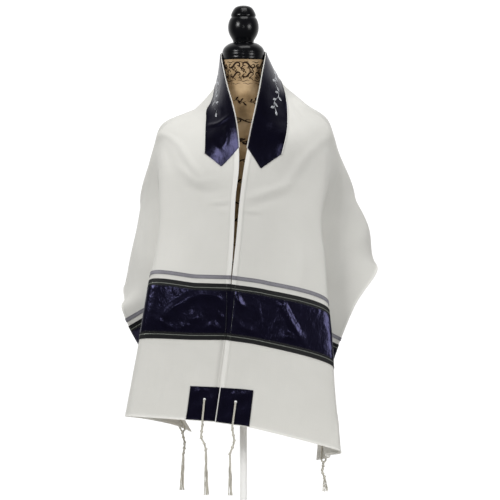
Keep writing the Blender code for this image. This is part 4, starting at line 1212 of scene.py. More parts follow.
@dataclass
class ShawlCloth:
    """The white rectangle of cloth with its hems, eyelet holes and soft creases."""
    surface: ShawlSurface
    step: float = 0.0054
    thickness: float = 0.0012
    pucker: float = 0.00025      # waves of the hems between stitches
    hole_ease: float = 1.25      # the cloth's holes, in radii of the patches' eyelets
    mark_ease: float = 1.3       # where grid lines pass beside a hole, in the same radii

    def build(self) -> Mesh:
        """Lay both faces over the surface, thicker at the hems, with a hole at each corner."""
        eyelets = [eyelet_spot(self.surface, corner) for corner in CORNERS]
        hole = EYELET_RADIUS * self.hole_ease
        ends = (HALF_LENGTH - ROLLED_HEM - HEM_SLOPE, HALF_LENGTH - ROLLED_HEM, HALF_LENGTH)
        run_marks = {sign * end for end in ends for sign in (-1, 1)}
        across_marks = {0.0, HEM, HEM + HEM_SLOPE, CLOTH_WIDTH - ROLLED_HEM - HEM_SLOPE,
                        CLOTH_WIDTH - ROLLED_HEM, CLOTH_WIDTH}
        for share in (-1.0, -0.5, 0.0, 0.5, 1.0):
            for run, across in eyelets:
                run_marks.add(round(run + share * EYELET_RADIUS * self.mark_ease, 5))
            across_marks.add(PATCH_SIDE / 2 + share * EYELET_RADIUS * self.mark_ease)
        runs = spaced(sorted(run_marks), self.step)
        columns = spaced(sorted(across_marks), self.step)
        flat = np.stack(np.meshgrid(runs, columns, indexing="ij"), axis=-1)
        keep = np.ones((len(runs) - 1, len(columns) - 1), bool)
        for eyelet in eyelets:
            keep &= punched(flat, eyelet, hole)
        run, across = flat[..., 0], flat[..., 1]
        relief = hem_relief(run, across)
        pucker = self.pucker * np.sin(across * 900.0 + run * 760.0) * (relief > 0)
        outer = self.surface.place(run, across, relief + pucker)
        inner = self.surface.place(run, across, -self.thickness - relief * 0.5 + pucker)
        return wall_mesh("shawl_cloth_looks", outer, inner, flat, keep)

    def dress(self, finish: Material) -> Object:
        """Put the cloth in the scene."""
        made = piece("white_cloth", self.build(), finish, ["shawl_cloth"])
        return made

    def sew(self, thread: Material) -> None:
        """Stitch the hems.

        Args:
            thread: The thread's finish.
        """
        rows = Stitching(self.surface)
        inside = HEM - SEAM_IN
        far = CLOTH_WIDTH - ROLLED_HEM + ROLLED_SEAM_IN
        ends = HALF_LENGTH - ROLLED_HEM + ROLLED_SEAM_IN
        start = BAND_HALF_LENGTH + 0.012
        for sign in (-1, 1):
            rows.row([(sign * start, inside), (sign * ends, inside), (sign * ends, far)], 0.0)
        rows.row([(-ends, far), (ends, far)], 0.0)
        rows.finish("hem_stitches", thread)


@dataclass
class Strip:
    """One ribbon or satin band sewn across an end of the cloth."""
    name: str
    foot: float
    head: float
    slot: str
    step: float = 0.004
    inset: float = 0.0001      # half the gap to the next strip
    wrap: float = 0.0006       # how far it reaches past the cloth's edges, which it covers
    creases: tuple = ()
    crease_fade: float = 0.010     # width beside the long edges in which creases fade
    pucker: float = 0.0
    pucker_depth: float = 0.012    # how far the puckers reach in from the long edges

    def build(self, surface: ShawlSurface, side: Side) -> Mesh:
        """Lay the strip over the surface, a little above the cloth.

        Args:
            surface: The draped cloth.
            side: The end that it crosses.

        Returns:
            Its closed wall.
        """
        low, high = HALF_LENGTH - self.head + self.inset, HALF_LENGTH - self.foot - self.inset
        runs = side_runs(low, high, self.step, side)
        marks = [-self.wrap, 0.0, HEM, HEM + HEM_SLOPE, CLOTH_WIDTH - ROLLED_HEM - HEM_SLOPE,
                 CLOTH_WIDTH - ROLLED_HEM, CLOTH_WIDTH, CLOTH_WIDTH + self.wrap]
        flat = np.stack(np.meshgrid(runs, spaced(marks, self.step), indexing="ij"), axis=-1)
        run, across = flat[..., 0], flat[..., 1]
        edge = np.minimum(np.abs(run) - low, high - np.abs(run))
        rise = smooth_step(edge / self.crease_fade)
        lift = np.maximum(crease_lift(run, across, self.creases), DEEPEST_TROUGH) * rise
        waves = np.sin(across * 610.0 + 2.0 * np.sin(across * 95.0))
        gathers = waves * np.exp(-(edge / self.pucker_depth) ** 2)
        lift += self.pucker * (gathers + 1.0) * smooth_step(edge / TRIM_EDGE)
        base = SEAM_GAP + hem_relief(run, across) + lift
        outer = surface.place(run, across, base + TRIM_THICKNESS)
        wrapped = (across < 0.0) | (across > CLOTH_WIDTH)
        inner = surface.place(run, across, np.where(wrapped, -CLOTH_THICKNESS - SEAM_GAP, base))
        return wall_mesh(self.name, outer, inner, flat)

    def dress(self, surface: ShawlSurface, side: Side, finish: Material) -> None:
        """Put the strip in the scene.

        Args:
            surface: The draped cloth.
            side: The end that it crosses.
            finish: Its finish.
        """
        name = f"{side.word}_{self.name}"
        made = piece(name + "_looks", self.build(surface, side), finish, [name])


@dataclass
class EndBands:
    """The ribbons and the satin band at both ends, with their metal lines and stitching."""
    surface: ShawlSurface
    line_width: float = 0.0014
    line_in: float = 0.0104      # from the black ribbon's outer edge
    line_end: float = 0.0006     # how far inside the cloth's edges a line ends
    seam_in: float = 0.0017      # from a strip's long edges

    def strips(self) -> tuple:
        """List the strips of one end from the top down."""
        return (Strip("ribbon_grey", GREY_FOOT, GREY_HEAD, "grey_ribbon"),
                Strip("ribbon_upper", SATIN_HEAD, UPPER_RIBBON_HEAD, "black_ribbon"),
                Strip("band_satin", SATIN_FOOT, SATIN_HEAD, "navy_satin", step=0.0028,
                      creases=SATIN_CREASES, pucker=0.00018),
                Strip("ribbon_lower", LOWER_RIBBON_FOOT, SATIN_FOOT, "black_ribbon"))

    def dress(self, grey: Material, black: Material, satin: Material) -> None:
        """Sew on every strip at both ends.

        Args:
            grey: The grey ribbons' finish.
            black: The black ribbons'.
            satin: The satin bands'.
        """
        finishes = {"grey_ribbon": grey, "black_ribbon": black, "navy_satin": satin}
        for side in Side:
            for strip in self.strips():
                strip.dress(self.surface, side, finishes[strip.slot])

    def line(self, side: Side, up: float) -> np.ndarray:
        """Lay out one metal line across the cloth, as a narrow raised strip.

        Args:
            side: The end that it crosses.
            up: Its distance from the cloth's end.

        Returns:
            Its points, rows by columns by three.
        """
        runs = side.value * (HALF_LENGTH - up + np.linspace(-0.5, 0.5, 5) * self.line_width)
        runs = np.sort(runs)
        crown = np.array([0.0, 0.00022, 0.00030, 0.00022, 0.0])
        length = np.linspace(self.line_end, CLOTH_WIDTH - self.line_end, 170)
        run, across = np.meshgrid(runs, length, indexing="ij")
        base = TRIM_TOP + 0.00004 + hem_relief(run, across)
        return self.surface.place(run, across, base + crown[:, None])

    def weave_lines(self, finish: Material) -> None:
        """Weave the metal lines into the black ribbons.

        Args:
            finish: The metal thread's finish.
        """
        for side in Side:
            lines = Bundle()
            for up in (UPPER_RIBBON_HEAD - self.line_in, LOWER_RIBBON_FOOT + self.line_in):
                lines.add_grid(self.line(side, up))
            piece(f"{side.word}_metal_lines", lines.mesh("metal_lines"), finish)

    def sew(self, dark: Material, pale: Material) -> None:
        """Stitch the strips' long edges, and the front hems where they cross the strips.

        Args:
            dark: The finish of the thread at the edges.
            pale: Of the thread that crosses them.
        """
        edges = Stitching(self.surface, radius=0.00024)
        crossing = Stitching(self.surface, radius=0.00034)
        lift = TRIM_TOP
        for side in Side:
            for strip in self.strips():
                for up in (strip.foot + self.seam_in, strip.head - self.seam_in):
                    run = side.value * (HALF_LENGTH - up)
                    edges.row([(run, 0.002), (run, CLOTH_WIDTH - 0.002)], lift)
                low, high = HALF_LENGTH - strip.head + 0.002, HALF_LENGTH - strip.foot - 0.002
                for across in (HEM - SEAM_IN, CLOTH_WIDTH - ROLLED_HEM + ROLLED_SEAM_IN):
                    crossing.row([(side.value * low, across), (side.value * high, across)], lift)
        edges.finish("ribbon_stitches", dark)
        crossing.finish("crossing_stitches", pale)


@dataclass
class NeckBand:
    """The satin band along the neck edge, with its pointed ends, its piping and an embroidered vine."""
    surface: ShawlSurface
    inset: float = 0.0003
    turned_from: float = 0.72      # share of the half length where its rows start to turn into the points
    edge_roll: float = 0.00035     # how far its turned edges stand up
    leaves: int = 11
    leaf_length: float = 0.0138
    leaf_width: float = 0.0062
    vine_from: float = 0.085
    vine_to: float = 0.232
    vine_across: float = 0.054
    vine_sway: float = 0.0070

    def build(self) -> Mesh:
        """Lay the band on the cloth, its rows turning into the points near both ends."""
        along = spaced([-1.0, 1.0], 0.0072)
        columns = spaced([self.inset, PATCH_SIDE - self.inset], 0.0032)
        share, across = np.meshgrid(along, columns, indexing="ij")
        peak = 1.0 - np.abs(2.0 * across / PATCH_SIDE - 1.0)
        turned = smooth_step((np.abs(share) - self.turned_from) / (1.0 - self.turned_from))
        run = share * BAND_HALF_LENGTH + np.sign(share) * peak * BAND_POINT * turned
        edge = np.minimum(across - self.inset, PATCH_SIDE - self.inset - across)
        lift = np.maximum(crease_lift(run, across, BAND_CREASES), DEEPEST_TROUGH) * smooth_step(edge / 0.010)
        lift += self.edge_roll * (1.0 - smooth_step(edge / TRIM_EDGE))
        base = SEAM_GAP + lift
        flat = np.stack([run, across], axis=-1)
        outer = self.surface.place(run, across, base + TRIM_THICKNESS)
        return wall_mesh("neck_band", outer, self.surface.place(run, across, base * 0.5), flat)

    def dress(self, satin: Material, white: Material) -> None:
        """Put the band and its piping in the scene.

        Args:
            satin: The band's finish.
            white: The piping's.
        """
        made = piece("neck_band_looks", self.build(), satin, ["neck_band"])
        runs = np.linspace(-BAND_HALF_LENGTH, BAND_HALF_LENGTH, 300)
        reach = PIPING_RADIUS + SEAM_GAP
        edges = {"neck_piping_inner": self.surface.place(runs, -reach, -CLOTH_THICKNESS / 2),
                 "neck_piping_outer": self.surface.place(runs, PATCH_SIDE, reach)}
        for name, path in edges.items():
            cord = Bundle()
            cord.add_tube(path, PIPING_RADIUS, 10)
            piece(name + "_looks", cord.mesh(name), white, [name])

    def vine_spot(self, share: np.ndarray, side: Side) -> tuple:
        """Give the stem's place on the flat cut, from the neck (0) towards the point (1)."""
        run = side.value * (self.vine_from + (self.vine_to - self.vine_from) * share)
        return run, self.vine_across + self.vine_sway * np.sin(share * 4.0 * math.pi)

    def embroider(self, silver: Material) -> None:
        """Embroider a leafy vine on both sides of the neck.

        Args:
            silver: The thread's finish.
        """
        lift = TRIM_TOP
        for side in Side:
            vine = Bundle()
            run, across = self.vine_spot(np.linspace(0.0, 1.0, 90), side)
            vine.add_tube(self.surface.place(run, across, lift + 0.0004), 0.0005, 6)
            for index in range(self.leaves):
                share = np.array([(index + 0.6) / (self.leaves + 0.4)])
                run, across = self.vine_spot(share, side)
                out = 1.0 if index % 2 else -1.0
                self._add_leaf(vine, float(run[0]), float(across[0]), side.value * 0.62, out * 0.78, lift)
            run, across = self.vine_spot(np.array([1.0]), side)
            self._add_leaf(vine, float(run[0]), float(across[0]), side.value, 0.1, lift)
            piece(f"{side.word}_vine_embroidery", vine.mesh("vine"), silver)

    def _add_leaf(self, vine: Bundle, run: float, across: float, run_way: float, across_way: float,
                  lift: float) -> None:
        """Add one leaf of raised satin stitch, ridged by its threads.

        Args:
            vine: The bundle that it joins.
            run: Its root's place along the cloth.
            across: Its root's place across the cloth.
            run_way: How it points along the cloth.
            across_way: How it points across the cloth.
            lift: The height of the satin under it.
        """
        along, over = np.meshgrid(np.linspace(0.02, 0.98, 17), np.linspace(-1.0, 1.0, 7), indexing="ij")
        size = math.hypot(run_way, across_way)
        way = np.array([run_way, across_way]) / size
        width = self.leaf_width / 2 * np.sin(math.pi * along) ** 0.8
        thread = 0.00010 * np.cos(along * 16.0 * math.pi)
        height = 0.0007 * np.sin(math.pi * along) ** 0.5 * (1.0 - over**2) + thread * (1.0 - over**2)
        place_run = run + way[0] * along * self.leaf_length - way[1] * over * width
        place_across = across + way[1] * along * self.leaf_length + way[0] * over * width
        points = self.surface.place(place_run, place_across, lift + 0.00015 + height)
        vine.add_grid(points if run > 0 else points[:, ::-1])

    def sew(self, thread: Material) -> None:
        """Stitch the band's edges.

        Args:
            thread: The thread's finish.
        """
        rows = Stitching(self.surface, radius=0.00024)
        lift = TRIM_TOP + 0.0002
        near, far = self.inset + 0.002, PATCH_SIDE - self.inset - 0.002
        rows.row([(-BAND_HALF_LENGTH, near), (BAND_HALF_LENGTH, near)], lift)
        rows.row([(-BAND_HALF_LENGTH, far), (BAND_HALF_LENGTH, far)], lift)
        for sign in (-1, 1):
            tip = (sign * (BAND_HALF_LENGTH + BAND_POINT - 0.004), PATCH_SIDE / 2)
            turn = sign * (BAND_HALF_LENGTH - 0.001)
            rows.row([(turn, near), tip, (turn, far)], lift)
        rows.finish("neck_band_stitches", thread)


@dataclass
class CornerPatches:
    """A satin square on each corner with a buttonhole-stitched eyelet."""
    surface: ShawlSurface
    inset: float = 0.0022
    step: float = 0.0021
    rim_stitches: int = 24

    def build(self, corner: Corner) -> Mesh:
        """Lay one patch over its corner with its hole.

        Args:
            corner: The corner.

        Returns:
            Its closed wall.
        """
        low, high = HALF_LENGTH - PATCH_SIDE + self.inset, HALF_LENGTH - self.inset
        runs = side_runs(low, high, self.step, corner.side)
        share = spaced([0.0, 1.0], self.step / PATCH_SIDE)
        run, over = np.meshgrid(runs, share, indexing="ij")
        start = self.surface.rear_start(run) if corner.rear else np.zeros(run.shape)
        end = np.full(run.shape, CLOTH_WIDTH if corner.rear else PATCH_SIDE)
        start, end = start + self.inset, end - self.inset
        flat = np.stack([run, start + (end - start) * over], axis=-1)
        keep = punched(flat, eyelet_spot(self.surface, corner), EYELET_RADIUS)
        run, across = flat[..., 0], flat[..., 1]
        edge = np.minimum(np.minimum(over, 1.0 - over) * PATCH_SIDE,
                          np.minimum(np.abs(run) - low, high - np.abs(run)))
        ripple = np.sin(run * 130.0 + across * 75.0) + 0.6 * np.sin(across * 210.0 - run * 60.0)
        lift = 0.00045 * (ripple + 1.6) * smooth_step(edge / 0.012)
        base = SEAM_GAP + hem_relief(run, across) + lift
        outer = self.surface.place(run, across, base + TRIM_THICKNESS)
        return wall_mesh("patch", outer, self.surface.place(run, across, base), flat, keep)

    def dress(self, satin: Material) -> None:
        """Put the patches in the scene.

        Args:
            satin: Their finish.
        """
        for corner in CORNERS:
            name = f"patch_{corner.name}"
            made = piece(name + "_looks", self.build(corner), satin, [name])

    def sew(self, thread: Material) -> None:
        """Stitch the patches' edges and the eyelets' rims.

        Args:
            thread: The thread's finish.
        """
        rows = Stitching(self.surface, radius=0.00026)
        rims = Stitching(self.surface, length=0.0026, radius=0.00036)
        lift = TRIM_TOP + 0.0002
        margin = self.inset + 0.0016
        for corner in CORNERS:
            sign = corner.side.value
            top, foot = sign * (HALF_LENGTH - PATCH_SIDE + margin), sign * (HALF_LENGTH - margin)
            if corner.rear:
                start, end = float(self.surface.rear_start(top)) + margin, CLOTH_WIDTH - margin
            else:
                start, end = margin, PATCH_SIDE - margin
            rows.row([(top, start), (foot, start), (foot, end), (top, end), (top, start)], lift)
            centre = np.array(eyelet_spot(self.surface, corner))
            for step in range(self.rim_stitches):
                angle = 2.0 * math.pi * step / self.rim_stitches
                way = np.array([math.cos(angle), math.sin(angle)])
                rims.row([centre + way * (EYELET_RADIUS - 0.0002), centre + way * (EYELET_RADIUS + 0.0026)],
                         lift + 0.0009)
        rows.finish("patch_stitches", thread)
        rims.finish("eyelet_stitches", thread)


@dataclass
class Tassel:
    """One knotted corner tassel: cords looped through the eyelet, wound, knotted and left loose."""
    surface: ShawlSurface
    corner: Corner
    ply: float = 0.00085
    strands: int = 8
    seed: int = 7
    loop_front: float = 0.0057       # how far the loop stands before the cloth
    loop_back: float = 0.0053        # and behind it
    loop_ply: float = 0.00145
    loop_twist: float = 0.0070
    core_radius: float = 0.0016
    winding_pitch: float = 0.0025
    winding_reach: float = 0.0018    # from the core's middle line to the wound cord's
    winding_radius: float = 0.0011
    knot_radius: float = 0.0026
    knot_cord: float = 0.0014
    strand_twist: float = 0.0042
    wander: float = 0.0009           # sideways unevenness of a strand
    fray: float = 0.0014             # how far the fibres of a tip lean out

    def path_of_loop(self, foot: np.ndarray, knot: np.ndarray) -> np.ndarray:
        """Route the cord from the knot up the front, through the eyelet and down behind to the knot.

        Args:
            foot: The cloth's foot below the eyelet.
            knot: The first knot.

        Returns:
            The route's points.
        """
        run, across = eyelet_spot(self.surface, self.corner)
        place = self.surface.place(np.array(run), np.array(across))
        normal = self.surface.normal(np.array(run), np.array(across))
        down = unit(foot - place)
        normal = unit(normal - down * float(np.dot(normal, down)))
        fall = float(np.linalg.norm(foot - place))
        front, back = self.loop_front, self.loop_back
        foot_drop, upright, bend, top = fall + 0.002, 0.0075, 0.0028, 0.0012
        steps = ((front, foot_drop), (front, fall / 2), (front, upright), (front * 0.75, bend), (0.0, top),
                 (-back * 0.75, bend), (-back, upright), (-back, fall / 2), (-back, foot_drop))
        path = [place + normal * out + down * drop for out, drop in steps]
        return curve_through([knot, *path, knot], 90)

    @staticmethod
    def add_twisted(bundle: Bundle, path: np.ndarray, radius: float, pitch: float, plies: int = 2) -> None:
        """Add a cord of twisted plies along a path.

        Args:
            bundle: The bundle that it joins.
            path: The cord's middle line.
            radius: Each ply's radius.
            pitch: The length of one turn of the twist.
            plies: How many plies it has.
        """
        along = lengths_along(path)
        count = max(8, int(along[-1] / pitch * 6))
        wanted = np.linspace(0.0, along[-1], count)
        line = read_path(path, along, wanted)
        ways = unit(np.gradient(line, axis=0))
        side = unit(np.cross(ways, (0.3, 1.0, 0.2)))
        other = np.cross(ways, side)
        for ply in range(plies):
            turn = (wanted / pitch + ply / plies) * 2.0 * math.pi
            helix = line + radius * 0.85 * (np.cos(turn)[:, None] * side + np.sin(turn)[:, None] * other)
            bundle.add_tube(helix, radius, 5)

    def build(self) -> Mesh:
        """Make the loop, the wound and knotted head, and the loose strands."""
        corner = self.corner
        run, across = eyelet_spot(self.surface, corner)
        foot = self.surface.place(np.array(corner.side.value * HALF_LENGTH), np.array(across))
        knot = foot + np.array([0.0, 0.0, -corner.knot_drop])
        bundle = Bundle()
        self.add_twisted(bundle, self.path_of_loop(foot, knot), self.loop_ply, self.loop_twist)
        steps = len(corner.sway)
        centres = [knot + np.array([sway, 0.0, -corner.head_length * index / (steps - 1)])
                   for index, sway in enumerate(corner.sway)]
        spine = curve_through(centres, 60)
        bundle.add_tube(spine, self.core_radius, 8)
        self._wind(bundle, spine)
        for index, centre in enumerate(centres):
            self._knot(bundle, centre, index)
        chance = np.random.default_rng(self.seed + 13 * CORNERS.index(corner))
        for index in range(self.strands):
            self._strand(bundle, centres[-1], index, chance)
        return bundle.mesh("tassel", 80.0)

    def _wind(self, bundle: Bundle, spine: np.ndarray) -> None:
        """Wind one cord round the head from end to end.

        Args:
            bundle: The bundle that it joins.
            spine: The head's middle line.
        """
        along = lengths_along(spine)
        count = int(along[-1] / self.winding_pitch * 10)
        wanted = np.linspace(0.0, along[-1], count)
        turn = wanted / self.winding_pitch * 2.0 * math.pi
        ring = np.stack([np.cos(turn), np.sin(turn), np.zeros(count)], axis=1)
        path = read_path(spine, along, wanted) + ring * self.winding_reach
        bundle.add_tube(path, self.winding_radius, 5)

    def _knot(self, bundle: Bundle, centre: np.ndarray, index: int) -> None:
        """Tie one double knot: a cord that crosses over itself in a tight ball.

        Args:
            bundle: The bundle that it joins.
            centre: Its middle.
            index: Its number, from the top.
        """
        turn = np.linspace(0.0, 4.0 * math.pi, 44)
        tilt = 0.5 * (-1.0 if index % 2 else 1.0)
        radius = self.knot_radius + 0.0005 * np.sin(2.5 * turn)
        path = np.stack([radius * np.cos(turn), radius * np.sin(turn),
                         0.0015 * np.sin(1.5 * turn) + tilt * radius * np.cos(turn)], axis=1)
        bundle.add_tube(centre + path, self.knot_cord, 6)

    def _strand(self, bundle: Bundle, root: np.ndarray, index: int, chance: np.random.Generator) -> None:
        """Hang one loose strand, its twist opening at the tip.

        Args:
            bundle: The bundle that it joins.
            root: The last knot.
            index: Its number.
            chance: The source of its unevenness.
        """
        corner = self.corner
        angle = 2.0 * math.pi * index / (self.strands - 1)
        ring = 0.0 if index == self.strands - 1 else 1.0
        way = np.array([math.cos(angle), math.sin(angle), 0.0]) * ring
        drop = root[2] - TASSEL_END
        points = [root + way * 0.0008]
        for share in np.linspace(0.06, 1.0, 9):
            reach = 0.0012 + (corner.spread - 0.0012) * share
            wander = chance.uniform(-self.wander, self.wander, 2) * min(1.0, share * 3.0)
            hang = np.array([corner.drift * share + wander[0], wander[1], -drop * share])
            points.append(root + way * reach + hang)
        path = curve_through(points, 70)
        self.add_twisted(bundle, path, self.ply * 0.8, self.strand_twist)
        tip = path[-1]
        for fibre in range(3):
            lean = chance.uniform(-self.fray, self.fray, 2)
            ends = [tip + np.array([0.0, 0.0, 0.0015]),
                    tip + np.array([lean[0], lean[1], -0.0012 - 0.0004 * fibre])]
            bundle.add_tube(curve_through(ends, 4), np.linspace(self.ply * 0.55, self.ply * 0.2, 4), 4)

    def dress(self, finish: Material) -> None:
        """Put the tassel in the scene."""
        name = f"tassel_{self.corner.name}"
        piece(name + "_looks", self.build(), finish, [name])


class Girth(NamedTuple):
    """One level section of the dress form."""
    height: float
    half_width: float
    front: float
    back: float


FORM_GIRTHS = (
    Girth(1.1133, 0.0490, 0.0490, 0.0490), Girth(1.0600, 0.0480, 0.0490, 0.0500),
    Girth(1.0300, 0.0520, 0.0510, 0.0560), Girth(1.0080, 0.0620, 0.0500, 0.0620),
    Girth(0.9850, 0.0900, 0.0490, 0.0680), Girth(0.9600, 0.1300, 0.0510, 0.0760),
    Girth(0.9350, 0.1600, 0.0590, 0.0850), Girth(0.9000, 0.1760, 0.0740, 0.0910),
    Girth(0.8450, 0.1660, 0.0960, 0.0920), Girth(0.7900, 0.1500, 0.1030, 0.0880),
    Girth(0.7200, 0.1340, 0.0940, 0.0790), Girth(0.6600, 0.1200, 0.0850, 0.0760),
    Girth(0.6000, 0.1220, 0.0860, 0.0820), Girth(0.5200, 0.1420, 0.0960, 0.0970),
    Girth(0.4400, 0.1520, 0.1020, 0.1050), Girth(0.3700, 0.1500, 0.1000, 0.1030),
    Girth(0.3400, 0.1430, 0.0940, 0.0970),
)


# Turned pieces, each an outline of radius and height from the top down
NECK_CAP_OUTLINE = (
    (0.0235, 1.1561), (0.0300, 1.1546), (0.0370, 1.1514), (0.0430, 1.1470), (0.0474, 1.1422),
    (0.0500, 1.1370), (0.0511, 1.1322), (0.0507, 1.1300), (0.0512, 1.1280), (0.0512, 1.1235),
    (0.0507, 1.1216), (0.0511, 1.1196), (0.0510, 1.1160), (0.0502, 1.1138),
)
FINIAL_OUTLINE = (
    (0.0010, 1.2456), (0.0070, 1.2451), (0.0130, 1.2438), (0.0190, 1.2410), (0.0235, 1.2364),
    (0.0267, 1.2310), (0.0291, 1.2258), (0.0301, 1.2220), (0.0300, 1.2196), (0.0290, 1.2174),
    (0.0312, 1.2146), (0.0336, 1.2104), (0.0358, 1.2040), (0.0371, 1.1965), (0.0372, 1.1890),
    (0.0359, 1.1810), (0.0332, 1.1736), (0.0298, 1.1672), (0.0264, 1.1616), (0.0250, 1.1566),
)
POLE_OUTLINE = ((0.0090, 0.3395), (0.0090, 0.3300), (0.0090, 0.0400), (0.0090, 0.0143))
BASE_OUTLINE = (
    (0.1500, 0.0140), (0.1535, 0.0136), (0.1550, 0.0115), (0.1550, 0.0030), (0.1530, 0.0003),
    (0.1500, 0.0),
)

# The studio's floor disc, from the foot up
FLOOR_OUTLINE = ((0.605, -0.012), (0.615, -0.010), (0.620, -0.006), (0.616, -0.0012), (0.605, 0.0))


class Flourish(Enum):
    """Ornaments printed on the form's cover."""
    SCROLL = "scroll"
    SPRIG = "sprig"
    RULE = "rule"


class PrintRow(NamedTuple):
    """One level row of printed ornament."""
    height: float
    kind: Flourish
    size: float      # of one ornament, in millimetres
    weight: float    # of its line, in millimetres


PRINT_ROWS = (
    PrintRow(1.1060, Flourish.RULE, 26, 1.2), PrintRow(1.0990, Flourish.SCROLL, 30, 3.0),
    PrintRow(1.0930, Flourish.SPRIG, 17, 1.2), PrintRow(1.0850, Flourish.SPRIG, 15, 1.0),
    PrintRow(1.0760, Flourish.SCROLL, 26, 2.6), PrintRow(1.0690, Flourish.SPRIG, 16, 1.0),
    PrintRow(1.0610, Flourish.RULE, 30, 1.0), PrintRow(1.0540, Flourish.RULE, 24, 0.8),
    PrintRow(1.0120, Flourish.SPRIG, 28, 1.5), PrintRow(0.9660, Flourish.SCROLL, 26, 1.6),
    PrintRow(0.9160, Flourish.SPRIG, 26, 1.5), PrintRow(0.8660, Flourish.SCROLL, 25, 1.5),
    PrintRow(0.8180, Flourish.SPRIG, 26, 1.5), PrintRow(0.7700, Flourish.SCROLL, 26, 1.6),
    PrintRow(0.7200, Flourish.SPRIG, 25, 1.4), PrintRow(0.6700, Flourish.SCROLL, 24, 1.5),
    PrintRow(0.6200, Flourish.SPRIG, 25, 1.5), PrintRow(0.5700, Flourish.SCROLL, 26, 1.6),
    PrintRow(0.5150, Flourish.SPRIG, 27, 1.5), PrintRow(0.4600, Flourish.SCROLL, 27, 1.6),
    PrintRow(0.4050, Flourish.SPRIG, 27, 1.5), PrintRow(0.3650, Flourish.RULE, 32, 1.0),
)


